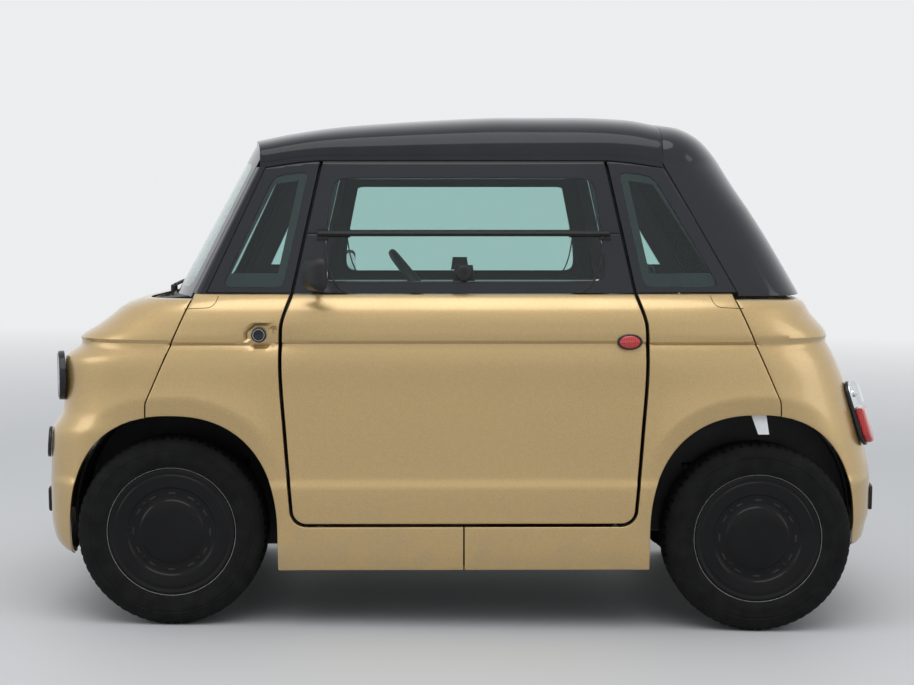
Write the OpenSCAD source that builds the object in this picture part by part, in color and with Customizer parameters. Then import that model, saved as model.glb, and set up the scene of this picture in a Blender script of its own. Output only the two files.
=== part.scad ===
// Two-seat electric microcar with plastic body panels on a steel frame.
// X points forward, Y to the left, Z up; the origin is on the ground under the middle of the car.
// All body work is drawn level and then turned by the rake, so only the wheels stand square to the ground.

/* [Body] */
// Overall length over the bumper pads
length = 2535; // [2400:5:3100]
// Overall width of the body, mirrors folded out of account
width = 1398; // [1300:2:1700]
// Height of the roof's crown above the ground
height = 1526; // [1300:2:1850]
// Nose-down tilt of the body on its suspension, in degrees
rake = 0.76; // [0:0.02:1.2]
// Height of the lower edge of the side panels
sill_z = 180; // [150:2:220]
// Height of the crease that runs round the body
crease_z = 848; // [800:2:900]
// Height where paint ends and glass begins
belt_z = 990; // [950:2:1040]
// Wall thickness of the painted panels
panel_t = 20; // [12:1:26]
// Gap between two fixed panels
seam = 4; // [2:0.5:6]

/* [Wheels] */
// Outer radius of the tyre
tyre_r = 278.5; // [232:0.5:335]
// Width of the tyre
tyre_w = 155; // [135:1:185]
// Radius of the rim's bead seat
rim_r = 178; // [150:1:200]
// Distance from the front axle to the front end
front_overhang = 408.5; // [380:0.5:480]
// Distance from the rear axle to the rear end
rear_overhang = 398.5; // [380:0.5:480]
// Distance from the body side to the wheel's centre plane
wheel_inset = 139; // [120:1:170]
// Clearance between tyre and arch, fore and aft
arch_gap = 31.5; // [28:0.5:60]
// Radius of the stub axles
spindle_r = 15; // [12:0.5:18]

/* [Doors] */
// Gap round the doors
door_gap = 10; // [8:0.5:14]
// Thickness of a whole door
door_t = 55; // [48:1:70]
// Distance from the wheel arch to the middle of the door gap
arch_to_door = 12; // [10:1:40]
// Width of the black border round the door's window
window_border = 60; // [50:1:80]
// Thickness of all panes
glass_t = 4; // [3:0.5:6]

/* [Steering] */
// Diameter of the steering wheel over its rim
wheel_d = 350; // [300:5:380]
// Slope of the steering column from the horizontal, in degrees
column_tilt = 38; // [30:1:45]
// Length of the steering arms from the kingpin to the tie rod
steer_arm = 100; // [85:1:110]
// Distance from the wheel's centre plane in to the kingpin
kingpin_set = 30; // [20:1:40]

/* [Cabin] */
// Distance from the car's middle to the middle of each seat
seat_y = 265; // [240:1:290]
// Width of a seat
seat_w = 420; // [380:2:450]
// Height of the seat cushion's top
seat_z = 450; // [420:2:480]

/* [Hidden] */
$fn = 48;

GOLD = [0.72, 0.58, 0.36];
GLOSS_BLACK = [0.04, 0.04, 0.05];
MATT_BLACK = [0.08, 0.08, 0.08];
STEEL = [0.35, 0.35, 0.37];
TINTED = [0.25, 0.32, 0.32];

// ---- Driving lines of the body, in its own level frame ----
pad_proud = 10;
half_l = length / 2 - pad_proud;
half_w = width / 2;
wheelbase = length - front_overhang - rear_overhang;
front_x = length / 2 - front_overhang;
rear_x = rear_overhang - length / 2;
wheel_y = half_w - wheel_inset;
// The arches stand evenly about the middle of the body, a little inside the axles.
arch_inset = 9;
arch_x = wheelbase / 2 - arch_inset;
arch_z = tyre_r + 1.5;
arch_a = tyre_r + arch_gap;
arch_b = tyre_r + 77.5;
arch_n = 2.35;
// Middle of the door gap at its widest, and the heights of the door's edges
door_x = arch_x - arch_a - arch_to_door;
door_bottom = sill_z + 134;
cant_z = height - 139;
// Half width of the gap line at the door's top, where the pillars lean together
door_top_x = door_x - 116;
door_belt_x = door_x - 32;

// Setback of the front end behind half_l against height
NOSE_SET = [[sill_z + 29, 54], [sill_z + 45, 30], [sill_z + 79, 9], [sill_z + 140, 0],
    [crease_z - 428, 0], [crease_z - 334, 3], [crease_z - 263, 10], [crease_z - 236, 28],
    [crease_z - 211, 40], [crease_z - 148, 47], [crease_z - 51, 50], [crease_z - 36, 66],
    [crease_z - 22, 90], [crease_z - 3, 103], [crease_z + 3, 96], [crease_z + 48, 158],
    [belt_z - 60, 203], [belt_z - 42, 224], [belt_z - 25, 256], [belt_z - 14, 290]];
// Setback of the rear end
TAIL_SET = [[sill_z + 41, 53], [sill_z + 59, 21], [sill_z + 106, 9], [sill_z + 140, 0],
    [crease_z - 428, 0], [crease_z - 315, 20], [crease_z - 192, 60], [crease_z - 106, 93],
    [crease_z - 14, 139], [crease_z - 3, 147], [crease_z + 3, 140], [belt_z - 58, 198],
    [belt_z - 30, 214], [belt_z - 18, 236]];
// Distance of the side inside half_w, on the door
SIDE_SET = [[sill_z, 44], [sill_z + 50, 35], [door_bottom, 29], [door_bottom + 112, 21],
    [door_bottom + 136, 27], [door_bottom + 286, 23], [crease_z - 148, 20],
    [crease_z - 58, 15], [crease_z - 14, 18], [crease_z - 3, 22], [crease_z + 3, 12],
    [crease_z + 32, 8], [crease_z + 57, 8], [belt_z - 50, 13], [belt_z - 25, 24],
    [belt_z - 10, 38], [belt_z, 52]];
nose_n = 7.5;
tail_n = 6;

function clamp(v, a, b) = min(max(v, a), b);
function mix(a, b, t) = a * (1 - t) + b * t;
function steps(a, b, n) = [for (i = [0:n]) mix(a, b, i / n)];
function unit(v) = v / norm(v);

function end_l(x, z) = half_l - lookup(z, x > 0 ? NOSE_SET : TAIL_SET);
function end_n(x) = x > 0 ? nose_n : tail_n;
function fall(e, n) = pow(max(1 - pow(e, n), 0), 1 / n);

// Share of the arch's outline that a point lies at: 1 on the edge, more outside it
function arch_share(x, z) =
    let (dx = abs(abs(x) - arch_x) / arch_a, dz = max(z - arch_z, 0) / arch_b)
    pow(pow(dx, arch_n) + pow(dz, arch_n), 1 / arch_n);
// Swelling of the wing round the arch, highest a lip's width outside the edge
flare_h = 17;
flare_lip = 45;
flare_reach = 150;
function flare(x, z) =
    let (d = (arch_share(x, z) - 1) * arch_a - flare_lip,
         fade = clamp((abs(x) - door_x + 50) / 130, 0, 1) * clamp((arch_x + arch_a + 30 - abs(x)) / 110, 0, 1))
    fade * (d < 0 ? flare_h * (1 - 0.55 * pow(min(-d / flare_lip, 1), 2))
                  : flare_h * exp(-pow(d / flare_reach, 2) * 2));

// Outer skin of the painted side
function side_y(x, z) =
    (half_w - lookup(z, SIDE_SET)) * fall(abs(x) / end_l(x, z), end_n(x)) + flare(x, z);
side_skin = function (p) [p[0], side_y(p[0], p[1]), p[1]];

// Outer skin of the ends: the angle runs from 0 at the front or rear middle to 90 abeam
function end_point(sign, a, z) =
    let (n = sign > 0 ? nose_n : tail_n,
         x = sign * end_l(sign, z) * pow(abs(cos(a)), 2 / n),
         y0 = (half_w - lookup(z, SIDE_SET)) * pow(abs(sin(a)), 2 / n),
         w = clamp(pow(abs(sin(a)), 4), 0, 1))
    [x, (a < 0 ? -1 : 1) * (y0 + w * flare(x, z)), z];
nose_skin = function (p) end_point(1, p[0], p[1]);
tail_skin = function (p) end_point(-1, -p[0], p[1]);

// Cabin side: leans in above the belt and closes a little towards both ends
cab_lean = 0.215;
function cab_y(x, z) = half_w - 61 - (z - belt_z) * cab_lean - 6.8e-8 * pow(abs(x), 3);
cab_skin = function (p) [p[0], cab_y(p[0], p[1]), p[1]];

// Windscreen: leans back and bows forward
screen_base = half_l - 331;
screen_lean = 0.55;
screen_bow = 3.4e-4;
function screen_x(y, z) = screen_base - (z - belt_z + 35) * screen_lean - screen_bow * y * y;
screen_skin = function (p) [screen_x(p[0], p[1]), p[0], p[1]];

// Line between the end panels and the wings, and the rear edge of the side glass above it
function split_x(z) = arch_x + lookup(z, [[arch_z + 351, 73], [arch_z + 393, 70], [belt_z - 7, -68]]);
front_glass_x = arch_x - 103;
rear_glass_x = arch_x - 53;
glass_top_x = door_top_x + 160;

// Roof: crown line over x, rounded down to the cant rail on both sides
ROOF_FRONT = screen_base - 276;
CROWN = [[-800, -108], [-718, -58], [-587, -22], [-488, -6], [-325, 0], [-129, 0], [34, -6],
    [197, -16], [360, -29], [523, -52], [637, -76]];
crown_scale = half_l / 1257.5;
function crown_z(x) = height + lookup(x / crown_scale, CROWN);
function cant_line(x) = cant_z - 19 * pow(clamp((abs(x) - door_top_x) / 160, 0, 1), 1.5) + 5;
roof_n = 3.4;
function roof_z(x, y) =
    let (c = cant_line(x), w = cab_y(x, c))
    c + (crown_z(x) - c) * fall(min(abs(y) / w, 1), roof_n);
roof_skin = function (p) [p[0], p[1], roof_z(p[0], p[1])];
// A roof point by its share of the half width, so that rows end on the cant rail
roof_end = -(glass_top_x + 12);
roof_row = function (p)
    let (y = p[1] * cab_y(p[0], cant_line(p[0])),
         x = p[0] - 0.5 * screen_bow * y * y * clamp((p[0] - 300) / (ROOF_FRONT - 300), 0, 1))
    [x, y, roof_z(x, y)];

// Rear cap of the cabin: level rows from the side glass round the back
cap_seam_z = cant_line(roof_end);
CAP_L = [[belt_z - 8, 211], [belt_z + 153, 303], [belt_z + 326, 412], [cap_seam_z, 444],
    [cap_seam_z + 44, 476], [cap_seam_z + 74, 503], [cap_seam_z + 101, 540],
    [cap_seam_z + 119, 578], [cap_seam_z + 138, 670]];
function cap_edge(z) = -mix(rear_glass_x + 3, -roof_end, clamp((z - belt_z) / (cap_seam_z - belt_z), 0, 1));
function cap_w(z) =
    z <= cap_seam_z ? cab_y(cap_edge(z), z)
    : let (c = cap_seam_z, w = cab_y(roof_end, c))
      w * fall(clamp((z - c) / (crown_z(roof_end) - c), 0, 1), roof_n);
function cap_n(z) = mix(3.2, 2.3, clamp((z - belt_z - 250) / 250, 0, 1));
cap_skin = function (p)
    let (a = p[0], z = p[1], n = cap_n(z), e = cap_edge(z), l = max(half_l - lookup(z, CAP_L), 1 - e))
    [e - (l + e) * pow(abs(sin(a)), 2 / n), (a > 90 ? -1 : 1) * cap_w(z) * pow(abs(cos(a)), 2 / n), z];

// ---- Outlines on the side ----
arch_top = arch_z + arch_b;
door_r = 45;
DOOR_LINE = [[door_bottom + door_r, -29], [door_bottom + 255, -13], [crease_z - 61, 0], [crease_z + 40, -3],
    [belt_z, -32], [cant_z, -116]];
// Middle of the door gap moved outwards by off, with a rounded lower corner
function door_line(z, off) =
    let (c = door_bottom + door_r, r = door_r + off)
    z < c ? door_x - 29 - door_r + sqrt(max(r * r - (c - z) * (c - z), 0)) : door_x + lookup(z, DOOR_LINE) + off;
// Edge of the arch nearer the door, grown by extra
function arch_rear(z, extra = 0) =
    arch_x - (arch_a + extra) * fall(clamp((z - arch_z) / (arch_b + extra), 0, 1), arch_n);
function arch_front(z, extra = 0) = 2 * arch_x - arch_rear(z, extra);
function wing_mid(z) =
    z <= arch_top ? arch_rear(z) : mix(arch_x, (door_belt_x + split_x(z)) / 2, (z - arch_top) / (belt_z - arch_top));
function end_edge(z) = z >= arch_z + 351 ? split_x(z) + seam / 2 : max(arch_front(z), arch_x + 73);
ARCH_ROWS = [arch_z + 70, arch_z + 130, arch_z + 190, arch_z + 240, arch_z + 280, arch_z + 310, arch_z + 330,
    arch_z + 344, arch_z + 351, arch_top];
SIDE_ROWS = concat([sill_z, sill_z + 50, sill_z + 95, door_bottom - door_gap / 2, door_bottom + 4,
    door_bottom + 20], ARCH_ROWS, [for (k = [6:len(SIDE_SET) - 1]) SIDE_SET[k][0]]);
function sorted(v) = len(v) < 2 ? v
    : let (m = v[floor(len(v) / 2)])
      concat(sorted([for (x = v) if (x < m) x]), [m], sorted([for (x = v) if (x > m) x]));

// ---- Builders ----
// Turns level body work nose down; the shift keeps both bumper pads equally far from the origin.
pad_low = sill_z + 142;
pad_high = sill_z + 216;
rake_shift = sin(rake) * (pad_low + pad_high) / 2;
module raked() translate([-rake_shift, 0, 0]) rotate([0, rake, 0]) children();
// Height above the ground of a body point, and the body's place of a point over the ground
function body_x(x, z) = (x + rake_shift) * cos(rake) - z * sin(rake);
function body_z(x, z) = (x + rake_shift) * sin(rake) + z * cos(rake);
function road_z(x, z) = -x * sin(rake) + z * cos(rake);

// Direction square to a skin
function normal(f, p) =
    let (e = 0.5, u = f(p + [e, 0]) - f(p - [e, 0]), v = f(p + [0, e]) - f(p - [0, e]))
    unit(cross(u, v));
// The same, kept level
function level_normal(f, p) =
    let (u = f(p + [0.5, 0]) - f(p - [0.5, 0]))
    unit(cross(u, [0, 0, 1]));
// Points of a skin moved inwards: square to it, level, or along a fixed direction
function sunk(f, grid, t) = [for (row = grid) [for (p = row) f(p) - t * normal(f, p)]];
function level_sunk(f, grid, t) = [for (row = grid) [for (p = row) f(p) - t * level_normal(f, p)]];
function moved(f, grid, v) = [for (row = grid) [for (p = row) f(p) + v]];

// Closed wall between two grids of points, less whole cells given as [row, row, column, column]
module wall(P, Q, holes = [], flip = false) {
    ni = len(P);
    nj = len(P[0]);
    points = concat([for (row = P) each row], [for (row = Q) each row]);
    off = ni * nj;
    function at(i, j) = i * nj + j;
    function solid(i, j) = i >= 0 && j >= 0 && i < ni - 1 && j < nj - 1
        && len([for (h = holes) if (i >= h[0] && i < h[1] && j >= h[2] && j < h[3]) 1]) == 0;
    function rim(a, b) = [[a, b, b + off], [a, b + off, a + off]];
    cells = [for (i = [0:ni - 2]) for (j = [0:nj - 2]) if (solid(i, j)) [i, j]];
    faces = [for (c = cells) let (i = c[0], j = c[1], a = at(i, j), b = at(i, j + 1),
                                  d = at(i + 1, j), e = at(i + 1, j + 1))
        each concat([[a, e, b], [a, d, e], [a + off, b + off, e + off], [a + off, e + off, d + off]],
            solid(i - 1, j) ? [] : rim(a, b), solid(i + 1, j) ? [] : rim(e, d),
            solid(i, j - 1) ? [] : rim(d, a), solid(i, j + 1) ? [] : rim(b, e))];
    polyhedron(points, flip ? [for (f = faces) [f[2], f[1], f[0]]] : faces, convexity = 6);
}
// Round bar between two points
module rod(p, q, r) {
    v = q - p;
    translate(p) rotate([0, acos(v[2] / norm(v)), atan2(v[1], v[0])]) cylinder(r = r, h = norm(v));
}
// Box given by its low and high corners
module block(p, q) translate(p) cube(q - p);
module both_sides() {
    children();
    mirror([0, 1, 0]) children();
}
module along_y() rotate([-90, 0, 0]) children();
// Turns the Z axis to a direction
module facing(p, n) translate(p) rotate([0, acos(n[2]), atan2(n[1], n[0])]) children();
fit = 0.3;

// ---- Painted ends ----
function end_grid(sign, rows, count, l_of) =
    [for (z = rows)
        let (s = acos(pow(min(end_edge(z) / end_l(sign, z), 1), end_n(sign) / 2)))
        [for (k = concat(steps(-count, -1, count - 1), [-0.15, 0, 0.15], steps(1, count, count - 1))) [s * k / count, z]]];
// Back of an end panel; its outer columns are drawn straight inwards, so that the seam stays open.
function end_back(f, g) =
    [for (row = g) [for (j = [0:len(row) - 1])
        let (p = f(row[j]))
        j == 0 || j == len(row) - 1 ? p - [0, sign(p[1]) * panel_t, 0] : p - panel_t * level_normal(f, row[j])]];
LAMP_ROWS = [crease_z - 195, crease_z - 60];
nose_rows = sorted(concat([for (k = NOSE_SET) k[0]], ARCH_ROWS, LAMP_ROWS));
tail_rows = sorted(concat([for (k = TAIL_SET) k[0]], ARCH_ROWS));
module nose() color(GOLD) raked() {
    g = end_grid(1, nose_rows, 9);
    wall(moved(nose_skin, g, [0, 0, 0]), end_back(nose_skin, g));
}
module tail() color(GOLD) raked() {
    g = end_grid(-1, tail_rows, 9);
    wall(moved(tail_skin, g, [0, 0, 0]), end_back(tail_skin, g));
}

// ---- Painted wings, one at each corner, each with its half of the sill ----
wing_rows = sorted(SIDE_ROWS);
function row_of(z) = search([true], [for (r = wing_rows) abs(r - z) < 0.01])[0];
sill_row = row_of(door_bottom - door_gap / 2);
arch_row = row_of(arch_top);
// Above the glass line a ledge closes the wing in to the glass.
function wing_grid(s) =
    [for (z = wing_rows)
        let (a = door_line(max(z, door_bottom - door_gap / 2), door_gap / 2), m = wing_mid(z), e = split_x(z) - seam / 2)
        [for (x = concat(steps(seam / 2, a, 3), [for (k = [1:4]) mix(a, m, k / 4)], [for (k = [1:4]) mix(m, e, k / 4)]))
            [s * x, z]]];
module wing(s) {
    g = wing_grid(s);
    n = len(g) - 1;
    P = moved(side_skin, g, [0, 0, 0]);
    ledge = [for (p = P[n]) [p[0], cab_y(p[0], belt_z) + 3, belt_z + 1]];
    Q = [for (i = [0:n]) [for (p = P[i]) i < n - 1 ? p - [0, panel_t, 0] : i < n ? p - [0, panel_t - 4, 10]
        : [p[0], max(p[1] - panel_t, cab_y(p[0], belt_z) + 5), belt_z - 16]]];
    wall(concat(P, [ledge]), concat(Q, [[for (p = ledge) p - [0, 0, 13]]]),
        [[sill_row, 99, 0, 3], [0, arch_row, 7, 11]], s > 0);
}
module quarter_front_left() color(GOLD) raked() wing(1);
module quarter_front_right() color(GOLD) raked() mirror([0, 1, 0]) wing(1);
module quarter_rear_left() color(GOLD) raked() wing(-1);
module quarter_rear_right() color(GOLD) raked() mirror([0, 1, 0]) wing(-1);

// ---- Glass house ----
roof_t = 12;
roof_xs = sorted(concat([for (k = CROWN) if (k[0] * crown_scale > roof_end + 20 && k[0] * crown_scale < ROOF_FRONT - 90)
    k[0] * crown_scale], [roof_end, ROOF_FRONT - 70, ROOF_FRONT]));
SHARES = [-1, -0.97, -0.9, -0.78, -0.6, -0.3, 0, 0.3, 0.6, 0.78, 0.9, 0.97, 1];
function roof_grid(xs, shares) = [for (x = xs) [for (k = shares) [x, k]]];
module roof() color(GLOSS_BLACK) raked() {
    g = roof_grid(roof_xs, SHARES);
    wall(moved(roof_row, g, [0, 0, 0]), moved(roof_row, g, [0, 0, -roof_t]), [], true);
}
// Corner where the windscreen would meet the cabin side, found by a few steps
function corner_y(z, y = 580, n = 6) = n == 0 ? y : corner_y(z, cab_y(screen_x(y, z), z), n - 1);
screen_low = belt_z - 22;
screen_margin = 38;
function screen_top(y) = roof_z(ROOF_FRONT - 0.5 * screen_bow * y * y, y) - roof_t - 2;
screen_edge_top = screen_top(corner_y(cant_z) - screen_margin);
SCREEN_COLS = [-1, -0.9, -0.75, -0.55, -0.3, 0, 0.3, 0.55, 0.75, 0.9, 1];
function screen_grid() =
    [for (k = [0:5])
        let (z = mix(screen_low, screen_edge_top, k / 5), w = corner_y(z) - screen_margin)
        [for (c = SCREEN_COLS)
            [w * c, z + k / 5 * (screen_top((corner_y(screen_edge_top) - screen_margin) * c) - screen_edge_top)]]];
module windscreen() color(TINTED) raked() {
    g = screen_grid();
    wall(moved(screen_skin, g, [0, 0, 0]), moved(screen_skin, g, [-glass_t * 1.1, 0, 0]));
}
// Quarter panes: columns from the door gap to the sloping end, with one more for the trim beside it
function pane_end(s, z) =
    mix(s > 0 ? front_glass_x : rear_glass_x, glass_top_x, (z - belt_z) / (cant_z - 16 - belt_z));
pane_low = belt_z + 3;
pane_high = cant_z - 11;
// Rows near the top fall with the roof's edge.
function pane_grid(s) =
    [for (z = [pane_low, belt_z + 58, pane_high - 50, pane_high])
        let (a = door_line(z, door_gap / 2), e = pane_end(s, z), drop = z > belt_z + 60 ? 1 : 0)
        [for (x = [a, a + 50, mix(a + 50, e - 42, 0.5), e - 42, e, e + 18])
            [s * x, z - drop * (cant_line(0) - cant_line(x))]]];
function first(grid, n) = [for (row = grid) [for (k = [0:n - 1]) row[k]]];
module pane(s, n, t0, t1, holes = []) {
    g = first(pane_grid(s), n);
    wall(moved(cab_skin, g, [0, -t0, 0]), moved(cab_skin, g, [0, -t1, 0]), holes, s > 0);
}
module quarter_glass() color(TINTED) raked() both_sides() {
    pane(1, 5, 0, glass_t);
    pane(-1, 5, 0, glass_t);
}
// Black corner trims between the front quarter panes and the windscreen
module pillar_trims() color(GLOSS_BLACK) raked() both_sides() {
    rows = [screen_low + 26, belt_z + 120, cant_z - 120, cant_z - 34];
    P = [for (z = rows) let (y = corner_y(z), x = screen_x(y, z))
        [cab_skin([pane_end(1, z) + seam, z]), [x - 8, cab_y(x - 8, z), z], [screen_x(y - 12, z), y - 12, z],
            screen_skin([y - screen_margin + 4, z])]];
    Q = [for (r = P) [r[0] - [0, glass_t - 2, 0], r[1] - [4, glass_t - 2, 0], r[2] - [10, 3, 0], r[3] - [11, -1, 0]]];
    wall(P, Q, [], true);
}
// Rear cap: the same rows and columns for the black surround and the screen set in it
cap_top = crown_z(roof_end) - 3;
cap_rows = [belt_z - 8, belt_z + 60, belt_z + 153, belt_z + 326, cap_seam_z, cap_seam_z + 44, cap_seam_z + 74,
    cap_seam_z + 101, cap_seam_z + 119, cap_top];
CAP_COLS = [0, 2, 8, 18, 30, 45, 65, 90, 115, 135, 150, 162, 172, 178, 180];
function cap_grid(rows, cols) = [for (z = rows) [for (a = cols) [a, z]]];
// Part of the cap between two depths, measured square to it
module cap(rows, cols, t0, t1, holes = [])
    wall(sunk(cap_skin, cap_grid(rows, cols), t0), sunk(cap_skin, cap_grid(rows, cols), t1), holes);
module rear_surround() color(GLOSS_BLACK) raked() cap(cap_rows, [for (a = CAP_COLS) clamp(a, 0.2, 179.8)], 0, glass_t,
    [[0, 6, 3, 11]]);
module rear_screen() color(TINTED) raked()
    cap([for (k = [0:6]) cap_rows[k] - (k == 6 ? fit : 0)], [18.1, 30, 45, 65, 90, 115, 135, 150, 161.9], 0, glass_t);

// Black panel between the bonnet and the windscreen, with the wiper
function cowl_front(y) = end_l(1, belt_z - 14) * fall(abs(y) / (half_w - 47), nose_n) - panel_t - 6;
module cowl() color(MATT_BLACK) raked() {
    ys = steps(-565, 565, 12);
    P = [for (r = [0:1]) [for (y = ys) r == 0 ? [cowl_front(y), y, belt_z - 17] : [screen_x(y, belt_z - 8) + 5, y, belt_z - 8]]];
    Q = [for (r = [0:1]) [for (p = P[r]) [r == 0 ? p[0] : screen_x(p[1], screen_low) + 4, p[1], screen_low]]];
    wall(P, Q);
    rod([screen_x(80, belt_z) + 30, 80, belt_z - 11], [screen_x(80, belt_z) + 26, 80, belt_z + 14], 9);
    rod([screen_x(80, belt_z) + 26, 80, belt_z + 10], [screen_x(-360, belt_z + 36) + 30, -360, belt_z + 40], 6);
}

// ---- Structure ----
strip_y = half_w - 109;
// Upright behind a wing's edge, from the sill to the glass, following the wing's own facets
function wing_at(s, z, x) =
    let (a = door_line(max(z, door_bottom - door_gap / 2), door_gap / 2), m = wing_mid(z), e = split_x(z) - seam / 2)
    lookup(x, [for (c = concat([for (k = [0:4]) mix(a, m, k / 4)], [for (k = [1:4]) mix(m, max(e, m + 1), k / 4)]))
        [c, side_y(s * c, z)]]);
upright_w = 60;
module upright(s) {
    rows = concat([sill_z + 10], [for (z = wing_rows) if (z > sill_z + 20 && z < belt_z - 20) z], [belt_z - 16, belt_z + 24]);
    g = [for (z = rows)
        let (a = door_line(max(z, door_bottom - door_gap / 2), door_gap / 2) + 1,
             b = z < arch_top + 14 ? min(arch_rear(z, 14), door_x + upright_w) : door_x + upright_w)
        [for (k = [0:3]) [s * mix(a, b, k / 3), z]]];
    P = [for (row = g) [for (p = row)
        [p[0], min(wing_at(s, min(p[1], belt_z - 20), abs(p[0])) - panel_t - 0.8,
                   cab_y(p[0], max(p[1], belt_z)) - glass_t - (p[1] > belt_z - 20 ? 1.2 : -20)), p[1]]]];
    Q = [for (row = g) [for (p = row) [p[0], strip_y, p[1]]]];
    wall(P, Q, [], s > 0);
}
// Frame behind a quarter pane, and the rail over the door
module upper_side(s) pane(s, 6, glass_t + fit, glass_t + 24, [[1, 2, 1, 3]]);
rail_xs = [for (k = [0:len(roof_xs) - 2]) roof_xs[k]];
module under_roof(xs, shares, depth) {
    g = roof_grid(xs, shares);
    wall(moved(roof_row, g, [0, 0, -roof_t - fit]), moved(roof_row, g, [0, 0, -roof_t - depth]), [], true);
}
// Beam behind a painted end
beam_y = 360;
module end_beam(s, z0, z1) {
    face = end_l(s, z1) * fall(beam_y / (half_w - 29), end_n(s)) - panel_t - fit - 0.6;
    block([s > 0 ? face - 40 : -face, -beam_y, z0], [s > 0 ? face : -face + 40, beam_y, z1]);
}
rail_y = 262;
rail_z = sill_z + 120;
hinge_x = door_x - door_gap / 2 - 85;
hinge_y = half_w - 35;
module cabin_frame() color(STEEL) raked() {
    both_sides() {
        upright(1);
        upright(-1);
        upper_side(1);
        upper_side(-1);
        // Rocker rail under the door
        g = [for (z = [sill_z + 10, sill_z + 50, door_bottom - door_gap / 2]) [for (x = [-door_x + 56, 0, door_x - 56]) [x, z]]];
        wall(moved(side_skin, g, [0, -panel_t - fit, 0]), [for (row = g) [for (p = row) [p[0], strip_y, p[1]]]], [], true);
        for (s = [-1, 1])
            block([s * (door_x - 50) - 30, strip_y, sill_z + 20], [s * (door_x - 50) + 30, strip_y + 22, door_bottom - 20]);
        // Posts from the pane frames up to the rail, front and rear
        for (s = [-1, 1])
            rod([s * (glass_top_x - 60), cab_y(glass_top_x, pane_high) - 20, pane_high - 34],
                [s * (glass_top_x - 60), cab_y(glass_top_x, pane_high) - 75, cant_z + 24], 10);
        // Rails to the front and rear ends, and the brackets that carry them on the rockers
        for (s = [0, 1]) mirror([s, 0, 0]) {
            block([door_x - 85, rail_y, rail_z], [half_l - 45, rail_y + 38, rail_z + 60]);
            block([door_x - 85, rail_y, rail_z - 34], [door_x - 45, strip_y + 2, rail_z + 2]);
        }
    }
    end_beam(1, rail_z + 20, rail_z + 78);
    end_beam(-1, rail_z + 20, rail_z + 78);
    // Scuttle beam under the windscreen, and its legs to the uprights
    ys = steps(-560, 560, 10);
    for_top = [for (x = [0:1]) [for (y = ys) [mix(screen_x(y, belt_z) - 48, cowl_front(y) - 4, x), y, screen_low - fit]]];
    wall(for_top, [for (row = for_top) [for (p = row) p - [0, 0, 40]]], [], true);
    both_sides() block([door_x + 20, strip_y - 30, belt_z - 66], [screen_x(540, belt_z) + 2, strip_y + 4, belt_z - 36]);
    under_roof(rail_xs, [0.78, 0.9], 34);
    under_roof(rail_xs, [-0.9, -0.78], 34);
    // Roof bows at the front and rear ends of the rails
    for (k = [0, len(rail_xs) - 2])
        under_roof([rail_xs[k], rail_xs[k + 1]], [for (c = SHARES) if (abs(c) < 0.95) c], 24);
    // Pivots that carry the doors: the left one at its rear edge, the right one at its front edge
    for (s = [-1, 1]) {
        translate([s * hinge_x, -s * hinge_y, door_bottom - door_gap / 2 + fit]) cylinder(r = 4.5, h = door_gap - 2 * fit);
        block([s * hinge_x - 12, min(-s * (strip_y + 20), -s * (hinge_y + 4)), door_bottom - door_gap / 2 + fit],
            [s * hinge_x + 12, max(-s * (strip_y + 20), -s * (hinge_y + 4)), door_bottom - door_gap / 2 + 4]);
        block([s * hinge_x - 12, min(-s * (strip_y + 4), -s * (strip_y + 40)), door_bottom - 20],
            [s * hinge_x + 12, max(-s * (strip_y + 4), -s * (strip_y + 40)), door_bottom - door_gap / 2 + 4]);
    }
}

floor_z = sill_z + 25;
floor_t = 20;
well_y = 300;
well_x = arch_x - 135;
shelf_z = sill_z + 330;
module floor_pan() color(MATT_BLACK) raked() {
    difference() {
        block([-door_x + 8, -strip_y + fit, floor_z - floor_t], [door_x - 8, strip_y - fit, floor_z + 40]);
        block([-door_x + 30, -strip_y + 26, floor_z], [door_x + 2, strip_y - 26, floor_z + 50]);
        // Room for the frame's brackets and rails, which cross the pan
        both_sides() {
            for (s = [0, 1]) mirror([s, 0, 0])
                block([door_x - 86, rail_y - 1, rail_z - 35], [door_x - 44, strip_y + 3, rail_z + 3]);
        }
    }
    // Foot well between the front wheels
    block([door_x - 10, -well_y + 42, floor_z - floor_t], [well_x, well_y - 42, floor_z]);
    block([well_x - 12, -well_y + 42, floor_z - floor_t], [well_x, well_y - 42, belt_z - 250 - fit]);
    both_sides() block([door_x - 10, well_y - 60, floor_z - floor_t], [well_x, well_y - 42, rail_z + 100]);
    // Bulkhead behind the seats and the shelf over the rear axle
    block([-door_x + 8, -well_y + 42, floor_z - 1], [-door_x + 26, well_y - 42, shelf_z]);
    block([-half_l + 140, -410, shelf_z - 18], [-door_x + 26, 410, shelf_z]);
}

liner_t = 6;
liner_y = half_w - 69;
function arch_outline(extra, low) =
    concat([for (t = steps(0, 180, 24))
        let (c = cos(t), k = sin(t))
        [arch_x + sign(c) * (arch_a + extra) * pow(abs(c), 2 / arch_n), arch_z + (arch_b + extra) * pow(max(k, 0), 2 / arch_n)]],
        [[arch_x - arch_a - extra, low], [arch_x + arch_a + extra, low]]);
// Arch shape standing across the car between two distances from the middle
module across(y0, y1) translate([0, y1, 0]) rotate([90, 0, 0]) linear_extrude(y1 - y0) children();
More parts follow.
